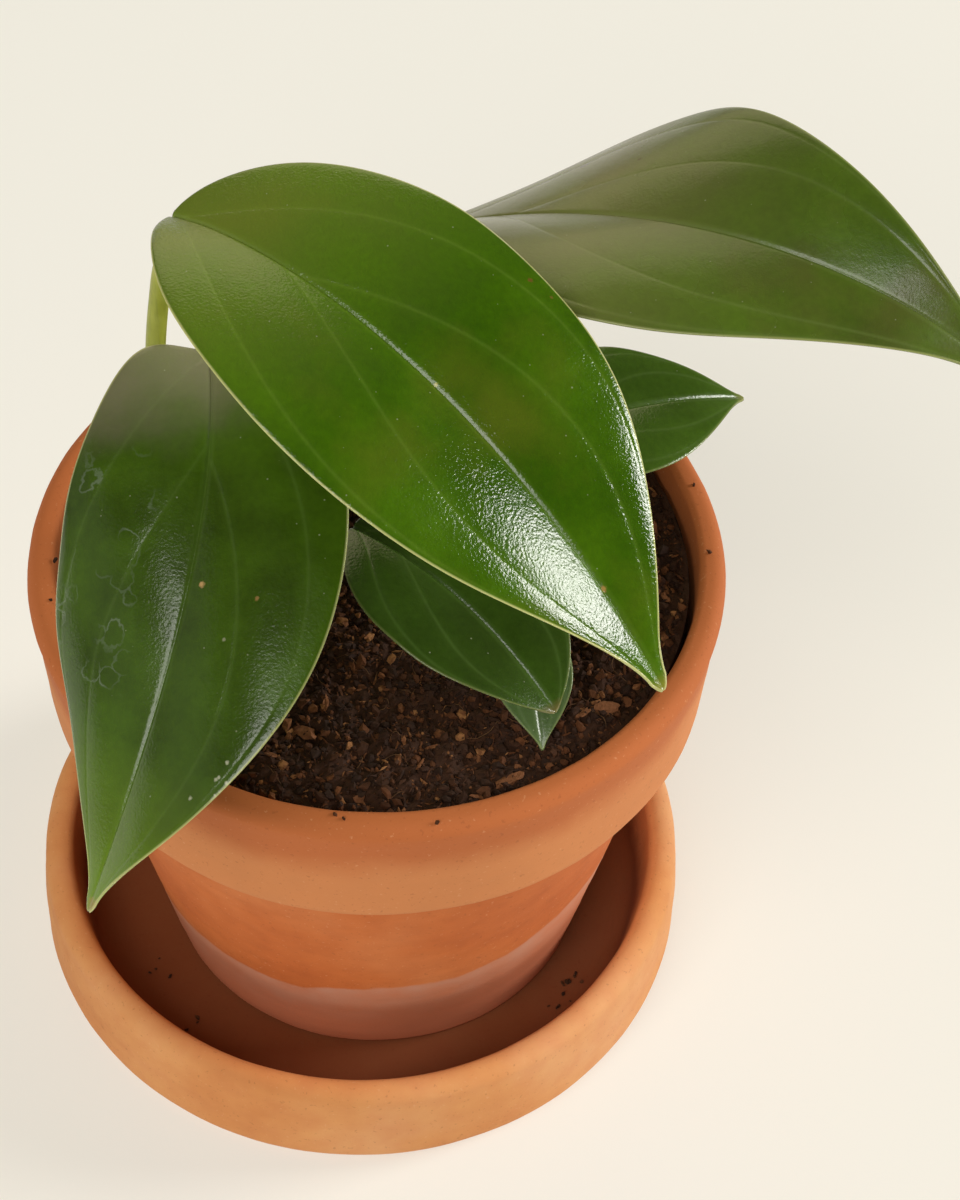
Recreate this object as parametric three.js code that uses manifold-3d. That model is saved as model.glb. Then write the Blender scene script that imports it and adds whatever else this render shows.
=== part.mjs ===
// Potted dragon tail philodendron: a young climbing aroid with six leaves on two short vines, in a terracotta
// pot that stands on a terracotta saucer.
// Millimetres, +Z up. The origin is the centre of the saucer's underside. -Y is the side that most tips lean to.
import * as THREE from "three";
import { mergeVertices } from "three/addons/utils/BufferGeometryUtils.js";
import Module from "manifold-3d";

const wasm = await Module();
wasm.setup();

// Room left between pieces that carry each other
const SEAT_GAP = 0.3;

// Sides of the turned pieces
const ROUND_SIDES = 42;

// Terracotta saucer, turned about the origin's vertical
const SAUCER = {
  rimRadius: 60.7,
  bellyRadius: 61.2,
  footRadius: 54,
  height: 22.5,
  floorHeight: 7,
  floorRadius: 49,
  wallThickness: 5.5,
};

// Terracotta pot. Heights are above its own foot, which stands on the saucer's floor, a little off centre.
const POT = {
  offset: new THREE.Vector2(2.7, 0.9),
  height: 95.3,
  rimRadius: 60,
  collarRadius: 58.2,
  collarFoot: 68.4,
  shoulderRadius: 53.4,
  footRadius: 39.8,
  wallThickness: 4.8,
  baseThickness: 6.5,
  drainRadius: 6,
};

// Potting soil: its middle height above the pot's foot, and the size of its crumbs and lumps
const SOIL = { fillHeight: 91, lumpHeight: 1.3, lumpSpacing: 7, seed: 7 };

// The two vines, from their foot in the soil to the joint that carries the last leaf
const VINES = {
  vine_left: {
    path: [[-4, 6, 84], [-6, 6, 97], [-13, 5, 107], [-22, 3, 116], [-29, 1, 124]],
    radius: 2.7,
    joints: [0.34, 0.62, 0.97],
  },
  vine_back: {
    path: [[5, 14, 84], [5, 15, 97], [4.6, 17, 106], [4.5, 18.5, 113]],
    radius: 2.5,
    joints: [0.58, 0.96],
  },
};

// Each leaf: where its blade starts, its size, and how its midrib runs.
// heading and pitch are degrees at the base, turn and pitchEnd how they go on towards the tip; bend below 1
// curves the midrib early. roll tips the blade about its midrib, fold is how far each half rises from the
// midrib, camber how far it curls down again at the edge. lobe is how far the base reaches back round the stalk.
// widest, shoulder, belly and point shape the outline.
const LEAVES = {
  centre: {
    base: [-28.5, -2.2, 179],
    length: 108,
    width: 52,
    heading: -35,
    turn: -4,
    pitch: 24,
    pitchEnd: -49,
    bend: 0.64,
    roll: 2,
    rollEnd: 3,
    fold: 22,
    foldEnd: 16,
    camber: 27,
    lobe: -2,
    widest: 0.44,
    shoulder: 0.52,
    belly: 2.1,
    point: 1.4,
    stalk: {
      from: "vine_left",
      radius: 1.6,
      path: [[-28.4, 1.2, 123], [-31.5, -1, 133], [-32.8, -3, 142], [-32.3, -2.8, 152.5], [-31.3, -2.5, 162], [-30, -2.3, 170]],
    },
  },
  left: {
    base: [-23.3, -7.5, 156.2],
    length: 93.5,
    width: 47.5,
    heading: -80,
    turn: -45,
    pitch: 4,
    pitchEnd: -59,
    bend: 0.75,
    roll: 4,
    rollEnd: 27,
    fold: 19,
    foldEnd: 12,
    camber: 39,
    lobe: 4.7,
    widest: 0.43,
    shoulder: 0.51,
    belly: 2.1,
    point: 1.4,
    stalk: {
      from: "vine_left",
      radius: 1.5,
      path: [[-15, 4.7, 109.2], [-18.5, 2.5, 120], [-22, -1, 133], [-24, -4.2, 144]],
    },
  },
  right: {
    base: [10.3, 33.5, 147.5],
    length: 113,
    width: 55.5,
    heading: -37,
    turn: 20,
    pitch: 37,
    pitchEnd: -41,
    bend: 1.6,
    roll: -21,
    rollEnd: 36,
    fold: 13,
    foldEnd: 17,
    camber: 21,
    lobe: -1,
    widest: 0.3,
    shoulder: 0.6,
    belly: 2.05,
    point: 1.8,
    stalk: {
      from: "vine_back",
      radius: 1.6,
      path: [[4.5, 18.3, 112], [4.6, 23, 121], [5.5, 28, 131], [8, 31, 138.5]],
    },
  },
  back: {
    base: [21.6, 2.5, 124.6],
    length: 49.5,
    width: 28,
    heading: 28.5,
    turn: -1,
    pitch: 17,
    pitchEnd: -25,
    bend: 0.74,
    roll: 7,
    rollEnd: 6,
    fold: 19,
    foldEnd: 12,
    camber: 25,
    lobe: -1,
    widest: 0.43,
    shoulder: 0.52,
    belly: 2.1,
    point: 1.35,
    stalk: {
      from: "vine_back",
      radius: 1.2,
      path: [[4.9, 15.4, 99.5], [8.5, 11.5, 108], [13.5, 7, 114], [18.6, 4, 117.5]],
    },
  },
  low: {
    base: [-0.5, -15.7, 126],
    length: 46,
    width: 30.5,
    heading: -32,
    turn: -18.5,
    pitch: 7.5,
    pitchEnd: -23.5,
    bend: 0.74,
    roll: -1,
    rollEnd: -4.5,
    fold: 20,
    foldEnd: 14.5,
    camber: 19,
    lobe: -1,
    widest: 0.44,
    shoulder: 0.52,
    belly: 2.1,
    point: 0.85,
    stalk: {
      from: "vine_left",
      radius: 1.2,
      path: [[-6.6, 6, 99], [-7.5, -0.5, 104], [-6.5, -8, 110.5], [-3.2, -13.2, 117]],
    },
  },
  small: {
    base: [27.4, -15.4, 105.3],
    length: 24.7,
    width: 13.5,
    heading: -79,
    turn: 0,
    pitch: 12,
    pitchEnd: -33,
    bend: 0.7,
    roll: 0,
    rollEnd: -1,
    fold: 20,
    foldEnd: 12,
    camber: 22,
    lobe: -1,
    widest: 0.44,
    shoulder: 0.52,
    belly: 2.1,
    point: 1.35,
    stalk: {
      from: "soil",
      radius: 1,
      path: [[21.5, -3.5, 88], [22, -4.5, 96.5], [24, -8, 99.8], [26.4, -12.5, 101]],
    },
  },
};

// Blade thickness away from the midrib, the ridge that the midrib makes underneath, and the narrow ends
const BLADE = {
  thickness: 0.7,
  ridgeDepth: 0.9,
  ridgeWidth: 1.1,
  stalkEndHalfWidth: 1.2,
  tipHalfWidth: 0.35,
  lobePlace: 0.06,
};

// Where the lines across a blade stand, from one edge to the other, with the midrib's ridge between two of them
const ACROSS = [-1, -0.74, -0.42, -0.1, 0, 0.1, 0.42, 0.74, 1];

const COLOURS = {
  saucer: 0xcb8251,
  pot: 0xb96c40,
  soil: 0x2e1d13,
  vine: 0x6d7a3a,
  stalk: 0x8fa24a,
  brightLeaf: 0x3a6411,
  darkLeaf: 0x2a4a17,
};

const FLOOR_OF_SAUCER = SAUCER.floorHeight;
const radians = THREE.MathUtils.degToRad;

function material(colour, roughness) {
  return new THREE.MeshStandardMaterial({ color: colour, roughness, metalness: 0 });
}

// A closed geometry as a solid, with the vertices that its faces share merged
function solidOf(geometry) {
  const bare = new THREE.BufferGeometry();
  bare.setAttribute("position", geometry.getAttribute("position"));
  bare.setIndex(geometry.getIndex());
  const merged = mergeVertices(bare, 1e-4);
  return new wasm.Manifold(
    new wasm.Mesh({
      numProp: 3,
      vertProperties: Float32Array.from(merged.getAttribute("position").array),
      triVerts: Uint32Array.from(merged.getIndex().array),
    })
  );
}

function geometryOf(solid) {
  const mesh = solid.getMesh();
  const geometry = new THREE.BufferGeometry();
  geometry.setAttribute("position", new THREE.BufferAttribute(Float32Array.from(mesh.vertProperties), 3));
  geometry.setIndex([...mesh.triVerts]);
  geometry.computeVertexNormals();
  return geometry;
}

// The largest body that a cut leaves
function largestBody(solid) {
  return solid.decompose().reduce((best, body) => (body.volume() > best.volume() ? body : best));
}

// A profile of radius and height turned about the vertical
function turned(profile, segments) {
  const points = profile.map(([radius, height]) => new THREE.Vector2(radius, height));
  return new THREE.LatheGeometry(points, segments).rotateX(Math.PI / 2);
}

// Points on a round corner from one angle to another, in degrees, about its centre
function corner([radius, height], size, fromDegrees, toDegrees, steps) {
  return Array.from({ length: steps + 1 }, (_, i) => {
    const angle = radians(THREE.MathUtils.lerp(fromDegrees, toDegrees, i / steps));
    return [radius + size * Math.cos(angle), height + size * Math.sin(angle)];
  });
}

// A round stalk bent along a smooth curve, with its radius a function of the share of the way along.
// grow swells it all round, ends too, to cut a hole with room to spare.
function bentStalk({ path, radiusAt, sides, steps }, grow = 0) {
  const curve = new THREE.CatmullRomCurve3(path.map((point) => new THREE.Vector3(...point)));
  const frames = curve.computeFrenetFrames(steps, false);
  const geometry = new THREE.CylinderGeometry(1, 1, 1, sides, steps);
  const places = geometry.getAttribute("position");
  for (let i = 0; i < places.count; i++) {
    const along = THREE.MathUtils.clamp(places.getY(i) + 0.5, 0, 1);
    const row = Math.round(along * steps);
    const radius = radiusAt(along) + grow;
    const overrun = row === 0 ? -grow : row === steps ? grow : 0;
    const point = curve
      .getPointAt(along)
      .addScaledVector(frames.normals[row], places.getX(i) * radius)
      .addScaledVector(frames.binormals[row], -places.getZ(i) * radius)
      .addScaledVector(frames.tangents[row], overrun);
    places.setXYZ(i, point.x, point.y, point.z);
  }
  return geometry;
}

// The midrib of a leaf: its point and its three directions, along, across and up, at a share of its length
function midribOf(leaf) {
  const steps = 240;
  const directionsAt = (share) => {
    const heading = radians(leaf.heading + leaf.turn * share);
    const pitch = radians(THREE.MathUtils.lerp(leaf.pitch, leaf.pitchEnd, share ** leaf.bend));
    const roll = radians(THREE.MathUtils.lerp(leaf.roll, leaf.rollEnd, share));
    const along = new THREE.Vector3(
      Math.cos(pitch) * Math.cos(heading),
      Math.cos(pitch) * Math.sin(heading),
      Math.sin(pitch)
    );
    const across = new THREE.Vector3(-Math.sin(heading), Math.cos(heading), 0).applyAxisAngle(along, roll);
    return { along, across, up: new THREE.Vector3().crossVectors(along, across) };
  };
  const points = [new THREE.Vector3(...leaf.base)];
  for (let i = 0; i < steps; i++) {
    const { along } = directionsAt((i + 0.5) / steps);
    points.push(points[i].clone().addScaledVector(along, leaf.length / steps));
  }
  return (share) => {
    const place = share * steps;
    const row = Math.min(Math.floor(place), steps - 1);
    return { point: points[row].clone().lerp(points[row + 1], place - row), ...directionsAt(share) };
  };
}

// Half the width of a blade at a share of its length: a round shoulder, then a point that may draw out
function halfWidth(leaf, share) {
  const towardsBase = 1 - share / leaf.widest;
  const towardsTip = (share - leaf.widest) / (1 - leaf.widest);
  const outline =
    share < leaf.widest
      ? (1 - towardsBase ** 2) ** leaf.shoulder
      : Math.max(1 - towardsTip ** leaf.belly, 0) ** leaf.point;
  const end = THREE.MathUtils.lerp(BLADE.stalkEndHalfWidth, BLADE.tipHalfWidth, share);
  return Math.hypot((leaf.width / 2) * outline, end);
}

// One closed blade. Its upper and lower faces have the same triangles, so that they never cross.
function bladeGeometry(leaf, rows) {
  const midrib = midribOf(leaf);
  const curl = radians(leaf.camber) / (leaf.width / 2);
  const columns = ACROSS.length;
  const positions = [];
  for (const side of [1, -1]) {
    for (let row = 0; row <= rows; row++) {
      const even = row / rows;
      const share = (even + 0.5 - 0.5 * Math.cos(Math.PI * even)) / 2;
      const { point, along, across, up } = midrib(share);
      const fold = radians(THREE.MathUtils.lerp(leaf.fold, leaf.foldEnd, share ** 0.6));
      const lobePull = leaf.lobe * (share / BLADE.lobePlace) * Math.exp(1 - share / BLADE.lobePlace);
      for (const place of ACROSS) {
        const distance = Math.abs(place) * halfWidth(leaf, share);
        const angle = fold - curl * distance;
        const out = (Math.sin(fold) - Math.sin(angle)) / curl;
        const rise = (Math.cos(angle) - Math.cos(fold)) / curl;
        const ridge = BLADE.ridgeDepth * (1 - share) ** 0.8 * Math.exp(-((distance / BLADE.ridgeWidth) ** 2));
        const lift = (side * BLADE.thickness) / 2 - (side < 0 ? ridge : 0);
        const vertex = point
          .clone()
          .addScaledVector(across, Math.sign(place) * (out - lift * Math.sin(angle)))
          .addScaledVector(up, rise + lift * (place === 0 ? 1 : Math.cos(angle)))
          .addScaledVector(along, -lobePull * Math.abs(place) ** 1.5);
        positions.push(vertex.x, vertex.y, vertex.z);
      }
    }
  }
  const lower = (rows + 1) * columns;
  const faces = [];
  for (let row = 0; row < rows; row++) {
    for (let column = 0; column < columns - 1; column++) {
      const a = row * columns + column;
      const b = a + columns;
      faces.push(a, b, a + 1, b, b + 1, a + 1);
      faces.push(lower + a, lower + a + 1, lower + b, lower + b, lower + a + 1, lower + b + 1);
    }
  }
  const rim = [];
  for (let column = 0; column < columns - 1; column++) rim.push(column);
  for (let row = 0; row < rows; row++) rim.push(row * columns + columns - 1);
  for (let column = columns - 1; column > 0; column--) rim.push(rows * columns + column);
  for (let row = rows; row > 0; row--) rim.push(row * columns);
  rim.forEach((from, i) => {
    const to = rim[(i + 1) % rim.length];
    faces.push(from, to, lower + from, to, lower + to, lower + from);
  });
  const geometry = new THREE.BufferGeometry();
  geometry.setAttribute("position", new THREE.Float32BufferAttribute(positions, 3));
  geometry.setIndex(faces);
  geometry.computeVertexNormals();
  return geometry;
}

function saucerGeometry() {
  const { rimRadius, bellyRadius, footRadius, height, floorHeight, floorRadius, wallThickness } = SAUCER;
  const lip = wallThickness / 2;
  return turned(
    [
      [0, 0],
      [footRadius, 0],
      ...corner([footRadius + 1.2, 6], 6, -78, -8, 4),
      [bellyRadius, 9],
      [bellyRadius, 14],
      ...corner([rimRadius - lip, height - lip], lip, 0, 180, 6),
      [floorRadius + 4.6, floorHeight + 6],
      ...corner([floorRadius - 0.4, floorHeight + 4.6], 4.6, -12, -90, 3),
      [0, floorHeight],
    ],
    ROUND_SIDES
  );
}

// Radius of the pot's inner wall at a height above its foot
function potBore(height) {
  const { collarFoot, shoulderRadius, footRadius, rimRadius, wallThickness } = POT;
  const outside = THREE.MathUtils.mapLinear(height, 0, collarFoot, footRadius, shoulderRadius);
  return height < collarFoot - 4 ? outside - wallThickness : rimRadius - wallThickness - 1;
}

function potGeometry() {
  const { height, rimRadius, collarRadius, collarFoot, shoulderRadius, footRadius } = POT;
  const { baseThickness, drainRadius } = POT;
  return turned(
    [
      [drainRadius, 0],
      [footRadius - 1.6, 0],
      [footRadius, 1.6],
      [shoulderRadius, collarFoot - 1.4],
      [shoulderRadius + 1, collarFoot - 0.2],
      ...corner([collarRadius - 1.8, collarFoot + 1.8], 1.8, -90, 0, 3),
      ...corner([rimRadius - 2.4, height - 2.4], 2.4, 0, 90, 4),
      ...corner([rimRadius - 3.2, height - 1.6], 1.6, 90, 170, 3),
      [potBore(collarFoot + 2), collarFoot + 2],
      [potBore(collarFoot - 4.1), collarFoot - 4.1],
      [potBore(baseThickness + 2), baseThickness + 2],
      [potBore(baseThickness) - 2, baseThickness],
      [drainRadius, baseThickness],
      [drainRadius, 0],
    ],
    ROUND_SIDES
  );
}

// Seeded value noise from 0 to 1 on a square grid
function noise(x, y, seed) {
  const corner01 = (i, j) => {
    const wave = Math.sin(i * 127.1 + j * 311.7 + seed * 74.7) * 43758.5453;
    return wave - Math.floor(wave);
  };
  const i = Math.floor(x);
  const j = Math.floor(y);
  const u = THREE.MathUtils.smoothstep(x - i, 0, 1);
  const v = THREE.MathUtils.smoothstep(y - j, 0, 1);
  const near = THREE.MathUtils.lerp(corner01(i, j), corner01(i + 1, j), u);
  const far = THREE.MathUtils.lerp(corner01(i, j + 1), corner01(i + 1, j + 1), u);
  return THREE.MathUtils.lerp(near, far, v);
}

// Height of the soil's lumps over its mean level, at a place over the pot's centre
function soilRelief(x, y) {
  const { lumpSpacing, lumpHeight, seed } = SOIL;
  const broad = noise(x / lumpSpacing, y / lumpSpacing, seed) - 0.5;
  const fine = noise(x / (lumpSpacing / 2), y / (lumpSpacing / 2), seed + 1) - 0.5;
  return lumpHeight * (2 * broad + fine);
}

function soilGeometry() {
  const { collarFoot, baseThickness } = POT;
  const { fillHeight } = SOIL;
  const clear = SEAT_GAP + 0.05;
  const edge = potBore(fillHeight) - clear;
  const rings = Array.from({ length: 9 }, (_, i) => [edge * (1 - i / 9), fillHeight]);
  const geometry = turned(
    [
      [0, baseThickness + SEAT_GAP],
      [potBore(baseThickness) - 2 - clear, baseThickness + SEAT_GAP],
      [potBore(baseThickness + 2) - clear, baseThickness + 2 + SEAT_GAP],
      [potBore(collarFoot - 4.1) - clear, collarFoot - 4.1 + SEAT_GAP],
      [potBore(collarFoot + 2) - clear, collarFoot + 2 + SEAT_GAP],
      [edge, fillHeight - 1.5],
      ...rings,
      [0, fillHeight],
    ],
    ROUND_SIDES
  );
  const places = geometry.getAttribute("position");
  for (let i = 0; i < places.count; i++) {
    if (Math.abs(places.getZ(i) - fillHeight) < 1e-3) {
      const x = places.getX(i);
      const y = places.getY(i);
      const towardsWall = THREE.MathUtils.smoothstep(Math.hypot(x, y), edge - 8, edge);
      places.setZ(i, fillHeight + soilRelief(x, y) * (1 - 0.6 * towardsWall) - 0.8 * towardsWall);
    }
  }
  return geometry;
}

// Radius along a vine, which swells where each leaf joins it and rounds off at its end
function vineRadius(vine) {
  return (along) => {
    const swell = vine.joints.reduce((sum, joint) => sum + 0.16 * Math.exp(-(((along - joint) / 0.04) ** 2)), 0);
    const end = 1 - 0.35 * THREE.MathUtils.smoothstep(along, 0.97, 1);
    return vine.radius * (1 + swell) * end;
  };
}

// A leaf stalk is widest where it clasps the vine and swells a little again under the blade
function stalkRadius(stalk) {
  return (along) => {
    const clasp = 0.28 * (1 - THREE.MathUtils.smoothstep(along, 0, 0.35));
    const knee = 0.1 * THREE.MathUtils.smoothstep(along, 0.86, 0.96);
    return stalk.radius * (1 + clasp + knee);
  };
}

// The stalk's route, which comes up square under the ridge near the blade's base and stops just short of it
function stalkPath(leaf) {
  const { point, along, up } = midribOf(leaf)(0);
  const seat = BLADE.thickness / 2 + BLADE.ridgeDepth + SEAT_GAP;
  const top = point.clone().addScaledVector(along, leaf.stalk.radius).addScaledVector(up, -seat - 0.15);
  const neck = top.clone().addScaledVector(up, -1.6 * leaf.stalk.radius);
  return [...leaf.stalk.path, neck.toArray(), top.toArray()];
}

function isBig(leaf) {
  return leaf.length > 60;
}

function bladeRows(leaf) {
  return isBig(leaf) ? 24 : 14;
}

function vineSolid(name, grow = 0) {
  const vine = VINES[name];
  return solidOf(bentStalk({ path: vine.path, radiusAt: vineRadius(vine), sides: 9, steps: 20 }, grow));
}

function stalkSolid(leaf, grow = 0) {
  const steps = isBig(leaf) ? 16 : 11;
  return solidOf(bentStalk({ path: stalkPath(leaf), radiusAt: stalkRadius(leaf.stalk), sides: 8, steps }, grow));
}

// A stalk with its foot cut to fit round the vine that it grows from
function fittedStalk(leaf) {
  const solid = stalkSolid(leaf);
  const { from } = leaf.stalk;
  return geometryOf(from in VINES ? largestBody(solid.subtract(vineSolid(from, SEAT_GAP))) : solid);
}

// The soil with a plain hole for each vine, and for the stalk that rises straight from it
function plantedSoil(offset) {
  let solid = solidOf(soilGeometry().translate(offset.x, offset.y, FLOOR_OF_SAUCER));
  for (const name of Object.keys(VINES)) {
    solid = solid.subtract(vineSolid(name, SEAT_GAP));
  }
  for (const leaf of Object.values(LEAVES)) {
    solid = solid.subtract(stalkSolid(leaf, SEAT_GAP));
  }
  return geometryOf(largestBody(solid)).translate(-offset.x, -offset.y, -FLOOR_OF_SAUCER);
}

function named(name, geometry, meshMaterial) {
  const mesh = new THREE.Mesh(geometry, meshMaterial);
  mesh.name = name;
  return mesh;
}

const pottedPlant = new THREE.Group();
pottedPlant.add(named("saucer", saucerGeometry(), material(COLOURS.saucer, 0.8)));

const filledPot = new THREE.Group();
filledPot.position.set(POT.offset.x, POT.offset.y, FLOOR_OF_SAUCER);
filledPot.add(named("pot", potGeometry(), material(COLOURS.pot, 0.8)));
filledPot.add(named("soil", plantedSoil(POT.offset), material(COLOURS.soil, 0.95)));
pottedPlant.add(filledPot);

const plant = new THREE.Group();
for (const name of Object.keys(VINES)) {
  plant.add(named(name, geometryOf(vineSolid(name)), material(COLOURS.vine, 0.55)));
}
for (const [name, leaf] of Object.entries(LEAVES)) {
  const colour = name === "centre" ? COLOURS.brightLeaf : COLOURS.darkLeaf;
  plant.add(named(`stalk_${name}`, fittedStalk(leaf), material(COLOURS.stalk, 0.45)));
  plant.add(named(`leaf_${name}`, bladeGeometry(leaf, bladeRows(leaf)), material(colour, 0.28)));
}
pottedPlant.add(plant);

export default pottedPlant;
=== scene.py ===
# %% [markdown]
# # A potted dragon tail philodendron
# The real plant is a young climbing aroid: six leathery leaves on bent stalks, two short vines, a bed of
# dark soil, and an ordinary terracotta pot on its saucer. The frame holds the plain solids at their true
# size. This lesson gives each of them the surface that the eye expects: pores and lime on the clay, crumbs
# in the soil, and veins, gloss and a pale edge on every leaf.

# %% Load the frame
import math

import bmesh
import bpy
import numpy as np
from mathutils import Matrix, Vector, noise


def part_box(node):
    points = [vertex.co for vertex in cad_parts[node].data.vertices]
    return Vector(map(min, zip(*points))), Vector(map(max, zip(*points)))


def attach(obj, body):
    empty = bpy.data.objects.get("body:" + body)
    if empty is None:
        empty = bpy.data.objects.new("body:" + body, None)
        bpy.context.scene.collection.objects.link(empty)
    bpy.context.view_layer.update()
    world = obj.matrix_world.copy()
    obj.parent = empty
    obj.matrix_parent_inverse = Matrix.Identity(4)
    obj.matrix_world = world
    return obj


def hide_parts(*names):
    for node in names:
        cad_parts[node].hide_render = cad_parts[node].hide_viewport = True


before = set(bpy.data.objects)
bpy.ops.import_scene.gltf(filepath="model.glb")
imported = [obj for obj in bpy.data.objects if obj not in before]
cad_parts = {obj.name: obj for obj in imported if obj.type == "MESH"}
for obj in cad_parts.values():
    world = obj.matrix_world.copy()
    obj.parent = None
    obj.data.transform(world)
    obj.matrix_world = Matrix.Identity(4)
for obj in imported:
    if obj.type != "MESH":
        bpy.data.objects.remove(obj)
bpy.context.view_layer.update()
MM = 0.001

# %% [markdown]
# ## The camera
# The photographer stood over the plant and looked down at about fifty degrees with a short telephoto lens.
# A camera's own axes are the columns of its matrix: right, up, and backwards along the view. A small roll
# tilts the first two about the third.

# %% Camera
LENS_MM = 86
SENSOR_MM = 36
CAMERA_DISTANCE = 500 * MM
CAMERA_ELEVATION = math.radians(49.7)
CAMERA_ROLL = math.radians(2.8)
LOOKED_AT = Vector((20.5, 0.9, 90)) * MM


def link(name, data):
    """A new object in the scene that holds some data."""
    made = bpy.data.objects.new(name, data)
    bpy.context.scene.collection.objects.link(made)
    return made


def make_camera():
    data = bpy.data.cameras.new("studio_camera")
    data.sensor_width = SENSOR_MM
    data.lens = LENS_MM
    made = link("studio_camera", data)
    level = Matrix.Rotation(math.pi / 2 - CAMERA_ELEVATION, 4, "X")
    rolled = level @ Matrix.Rotation(CAMERA_ROLL, 4, "Z")
    backwards = level.to_3x3() @ Vector((0, 0, 1))
    made.matrix_world = Matrix.Translation(LOOKED_AT + CAMERA_DISTANCE * backwards) @ rolled
    bpy.context.scene.camera = made
    return made


camera = make_camera()
print("camera at", [round(v / MM) for v in camera.matrix_world.translation], "mm")

# %% [markdown]
# ## Nodes and colours
# Every material below is a small tree of nodes. One helper adds a node, sets its own properties and fills
# its sockets with numbers, colours or links. Colours are written as the hex values that a picture editor
# shows, so one function turns them into the linear values that the renderer needs. A single number stands
# for a grey.

# %% Node helper and colour helper


def tone(shade):
    """An sRGB hex colour, or the value of a linear grey, as linear red, green, blue and alpha."""
    if not isinstance(shade, str):
        return (shade, shade, shade, 1.0)
    parts = [int(shade[i : i + 2], 16) / 255 for i in (1, 3, 5)]
    return (*[c / 12.92 if c <= 0.04045 else ((c + 0.055) / 1.055) ** 2.4 for c in parts], 1.0)


def put(tree, kind, sockets=None, stops=None, **properties):
    """Adds one node. sockets maps an input's name or number to a value, a hex colour or another node's
    output, and stops are the places and shades of a colour ramp."""
    node = tree.nodes.new(kind)
    for name, value in properties.items():
        setattr(node, name, value)
    for key, value in (sockets or {}).items():
        if isinstance(value, bpy.types.NodeSocket):
            tree.links.new(value, node.inputs[key])
        else:
            node.inputs[key].default_value = tone(value) if isinstance(value, str) else value
    if stops:
        ramp = node.color_ramp
        while len(ramp.elements) < len(stops):
            ramp.elements.new(0.5)
        for element, (place, shade) in zip(ramp.elements, stops):
            element.position = place
            element.color = tone(shade)
    return node


def new_material(name):
    """A material with an empty tree of nodes, and the tree."""
    material = bpy.data.materials.new(name)
    material.use_nodes = True
    tree = material.node_tree
    tree.nodes.clear()
    return material, tree


def per_metre(size_mm):
    """The scale of a pattern whose features are about that many millimetres apart."""
    return 1 / (size_mm * MM)


def give_surface(material, sockets):
    """Ends a material's tree with its surface and returns the material."""
    tree = material.node_tree
    surface = put(tree, "ShaderNodeBsdfPrincipled", sockets)
    put(tree, "ShaderNodeOutputMaterial", {"Surface": surface.outputs[0]})
    return material


# %% [markdown]
# ## Light and floor
# The gloss on the leaves says where the light is: each bright patch mirrors it. A low soft window on the
# right makes the white patch near the big leaf's tip, and a pale wall behind the grey sheen on the far
# leaves. Most of the light comes from behind the camera and to its left, where hardly any part of a leaf
# mirrors it. All stand a few metres off, so that the floor is lit evenly. The room itself is dim, because a
# bright one would lay a veil over every dark leaf. Only the camera sees it as pale as the paper. The floor
# is a sheet of cream paper on a lit table: the glow through it keeps the shadows as faint as a studio does.

# %% Lights and floor
PLANT_MIDDLE = Vector((10, -5, 120)) * MM
DAYLIGHT = "#FFFDF8"
WARM_WALL = "#FFF0C2"
LIGHTS = {
    "window_right": {"azimuth": 77, "elevation": 21, "distance": 2.5, "size": (0.88, 0.88), "watts": 50},
    "wall_left": {"azimuth": -100, "elevation": 22, "distance": 3.0, "size": (2.4, 1.6), "watts": 3},
    "wall_behind": {
        "azimuth": -10,
        "elevation": 22,
        "distance": 3.5,
        "size": (2.6, 2.2),
        "watts": 19,
        "colour": WARM_WALL,
    },
    "behind_camera": {"azimuth": -160, "elevation": 45, "distance": 3.7, "size": (2.4, 2.4), "watts": 92},
}
FLOOR_HALF_METRES = 9
PAPER = "#F5F5EC"
PAPER_SHADE = "#B8B4AD"
PAPER_GLOW = 0.495
ROOM_GLOW = 0.11
BACKDROP_GLOW = 0.7


def aim_light(name, azimuth, elevation, distance, size, watts, colour=DAYLIGHT):
    """A soft rectangular light that faces the plant. Azimuth 0 is behind the plant and 90 to its right."""
    data = bpy.data.lights.new(name, "AREA")
    data.shape = "RECTANGLE"
    data.size, data.size_y = size
    data.energy = watts
    data.color = tone(colour)[:3]
    light = link(name, data)
    a, e = math.radians(azimuth), math.radians(elevation)
    out = Vector((math.sin(a) * math.cos(e), math.cos(a) * math.cos(e), math.sin(e)))
    light.location = PLANT_MIDDLE + out * distance
    light.rotation_euler = out.to_track_quat("Z", "Y").to_euler()


def as_mesh(name, shape):
    """The mesh of a finished bmesh, which is then freed."""
    mesh = bpy.data.meshes.new(name)
    shape.to_mesh(mesh)
    shape.free()
    return mesh


def lay_floor():
    sheet = bmesh.new()
    bmesh.ops.create_grid(sheet, x_segments=2, y_segments=2, size=FLOOR_HALF_METRES)
    mesh = as_mesh("paper_floor", sheet)
    floor = link("paper_floor", mesh)
    material, _ = new_material("backdrop_paper")
    glow = {"Emission Color": PAPER, "Emission Strength": PAPER_GLOW}
    mesh.materials.append(give_surface(material, {"Base Color": PAPER_SHADE, "Roughness": 0.9, **glow}))


def fill_world():
    world = bpy.data.worlds.new("soft_room")
    bpy.context.scene.world = world
    world.use_nodes = True
    tree = world.node_tree
    tree.nodes.clear()
    dim_room = put(tree, "ShaderNodeBackground", {"Color": WARM_WALL, "Strength": ROOM_GLOW})
    backdrop = put(tree, "ShaderNodeBackground", {"Color": PAPER, "Strength": BACKDROP_GLOW})
    seen = put(tree, "ShaderNodeLightPath").outputs["Is Camera Ray"]
    both = put(tree, "ShaderNodeMixShader", {0: seen, 1: dim_room.outputs[0], 2: backdrop.outputs[0]})
    put(tree, "ShaderNodeOutputWorld", {"Surface": both.outputs[0]})


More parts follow.
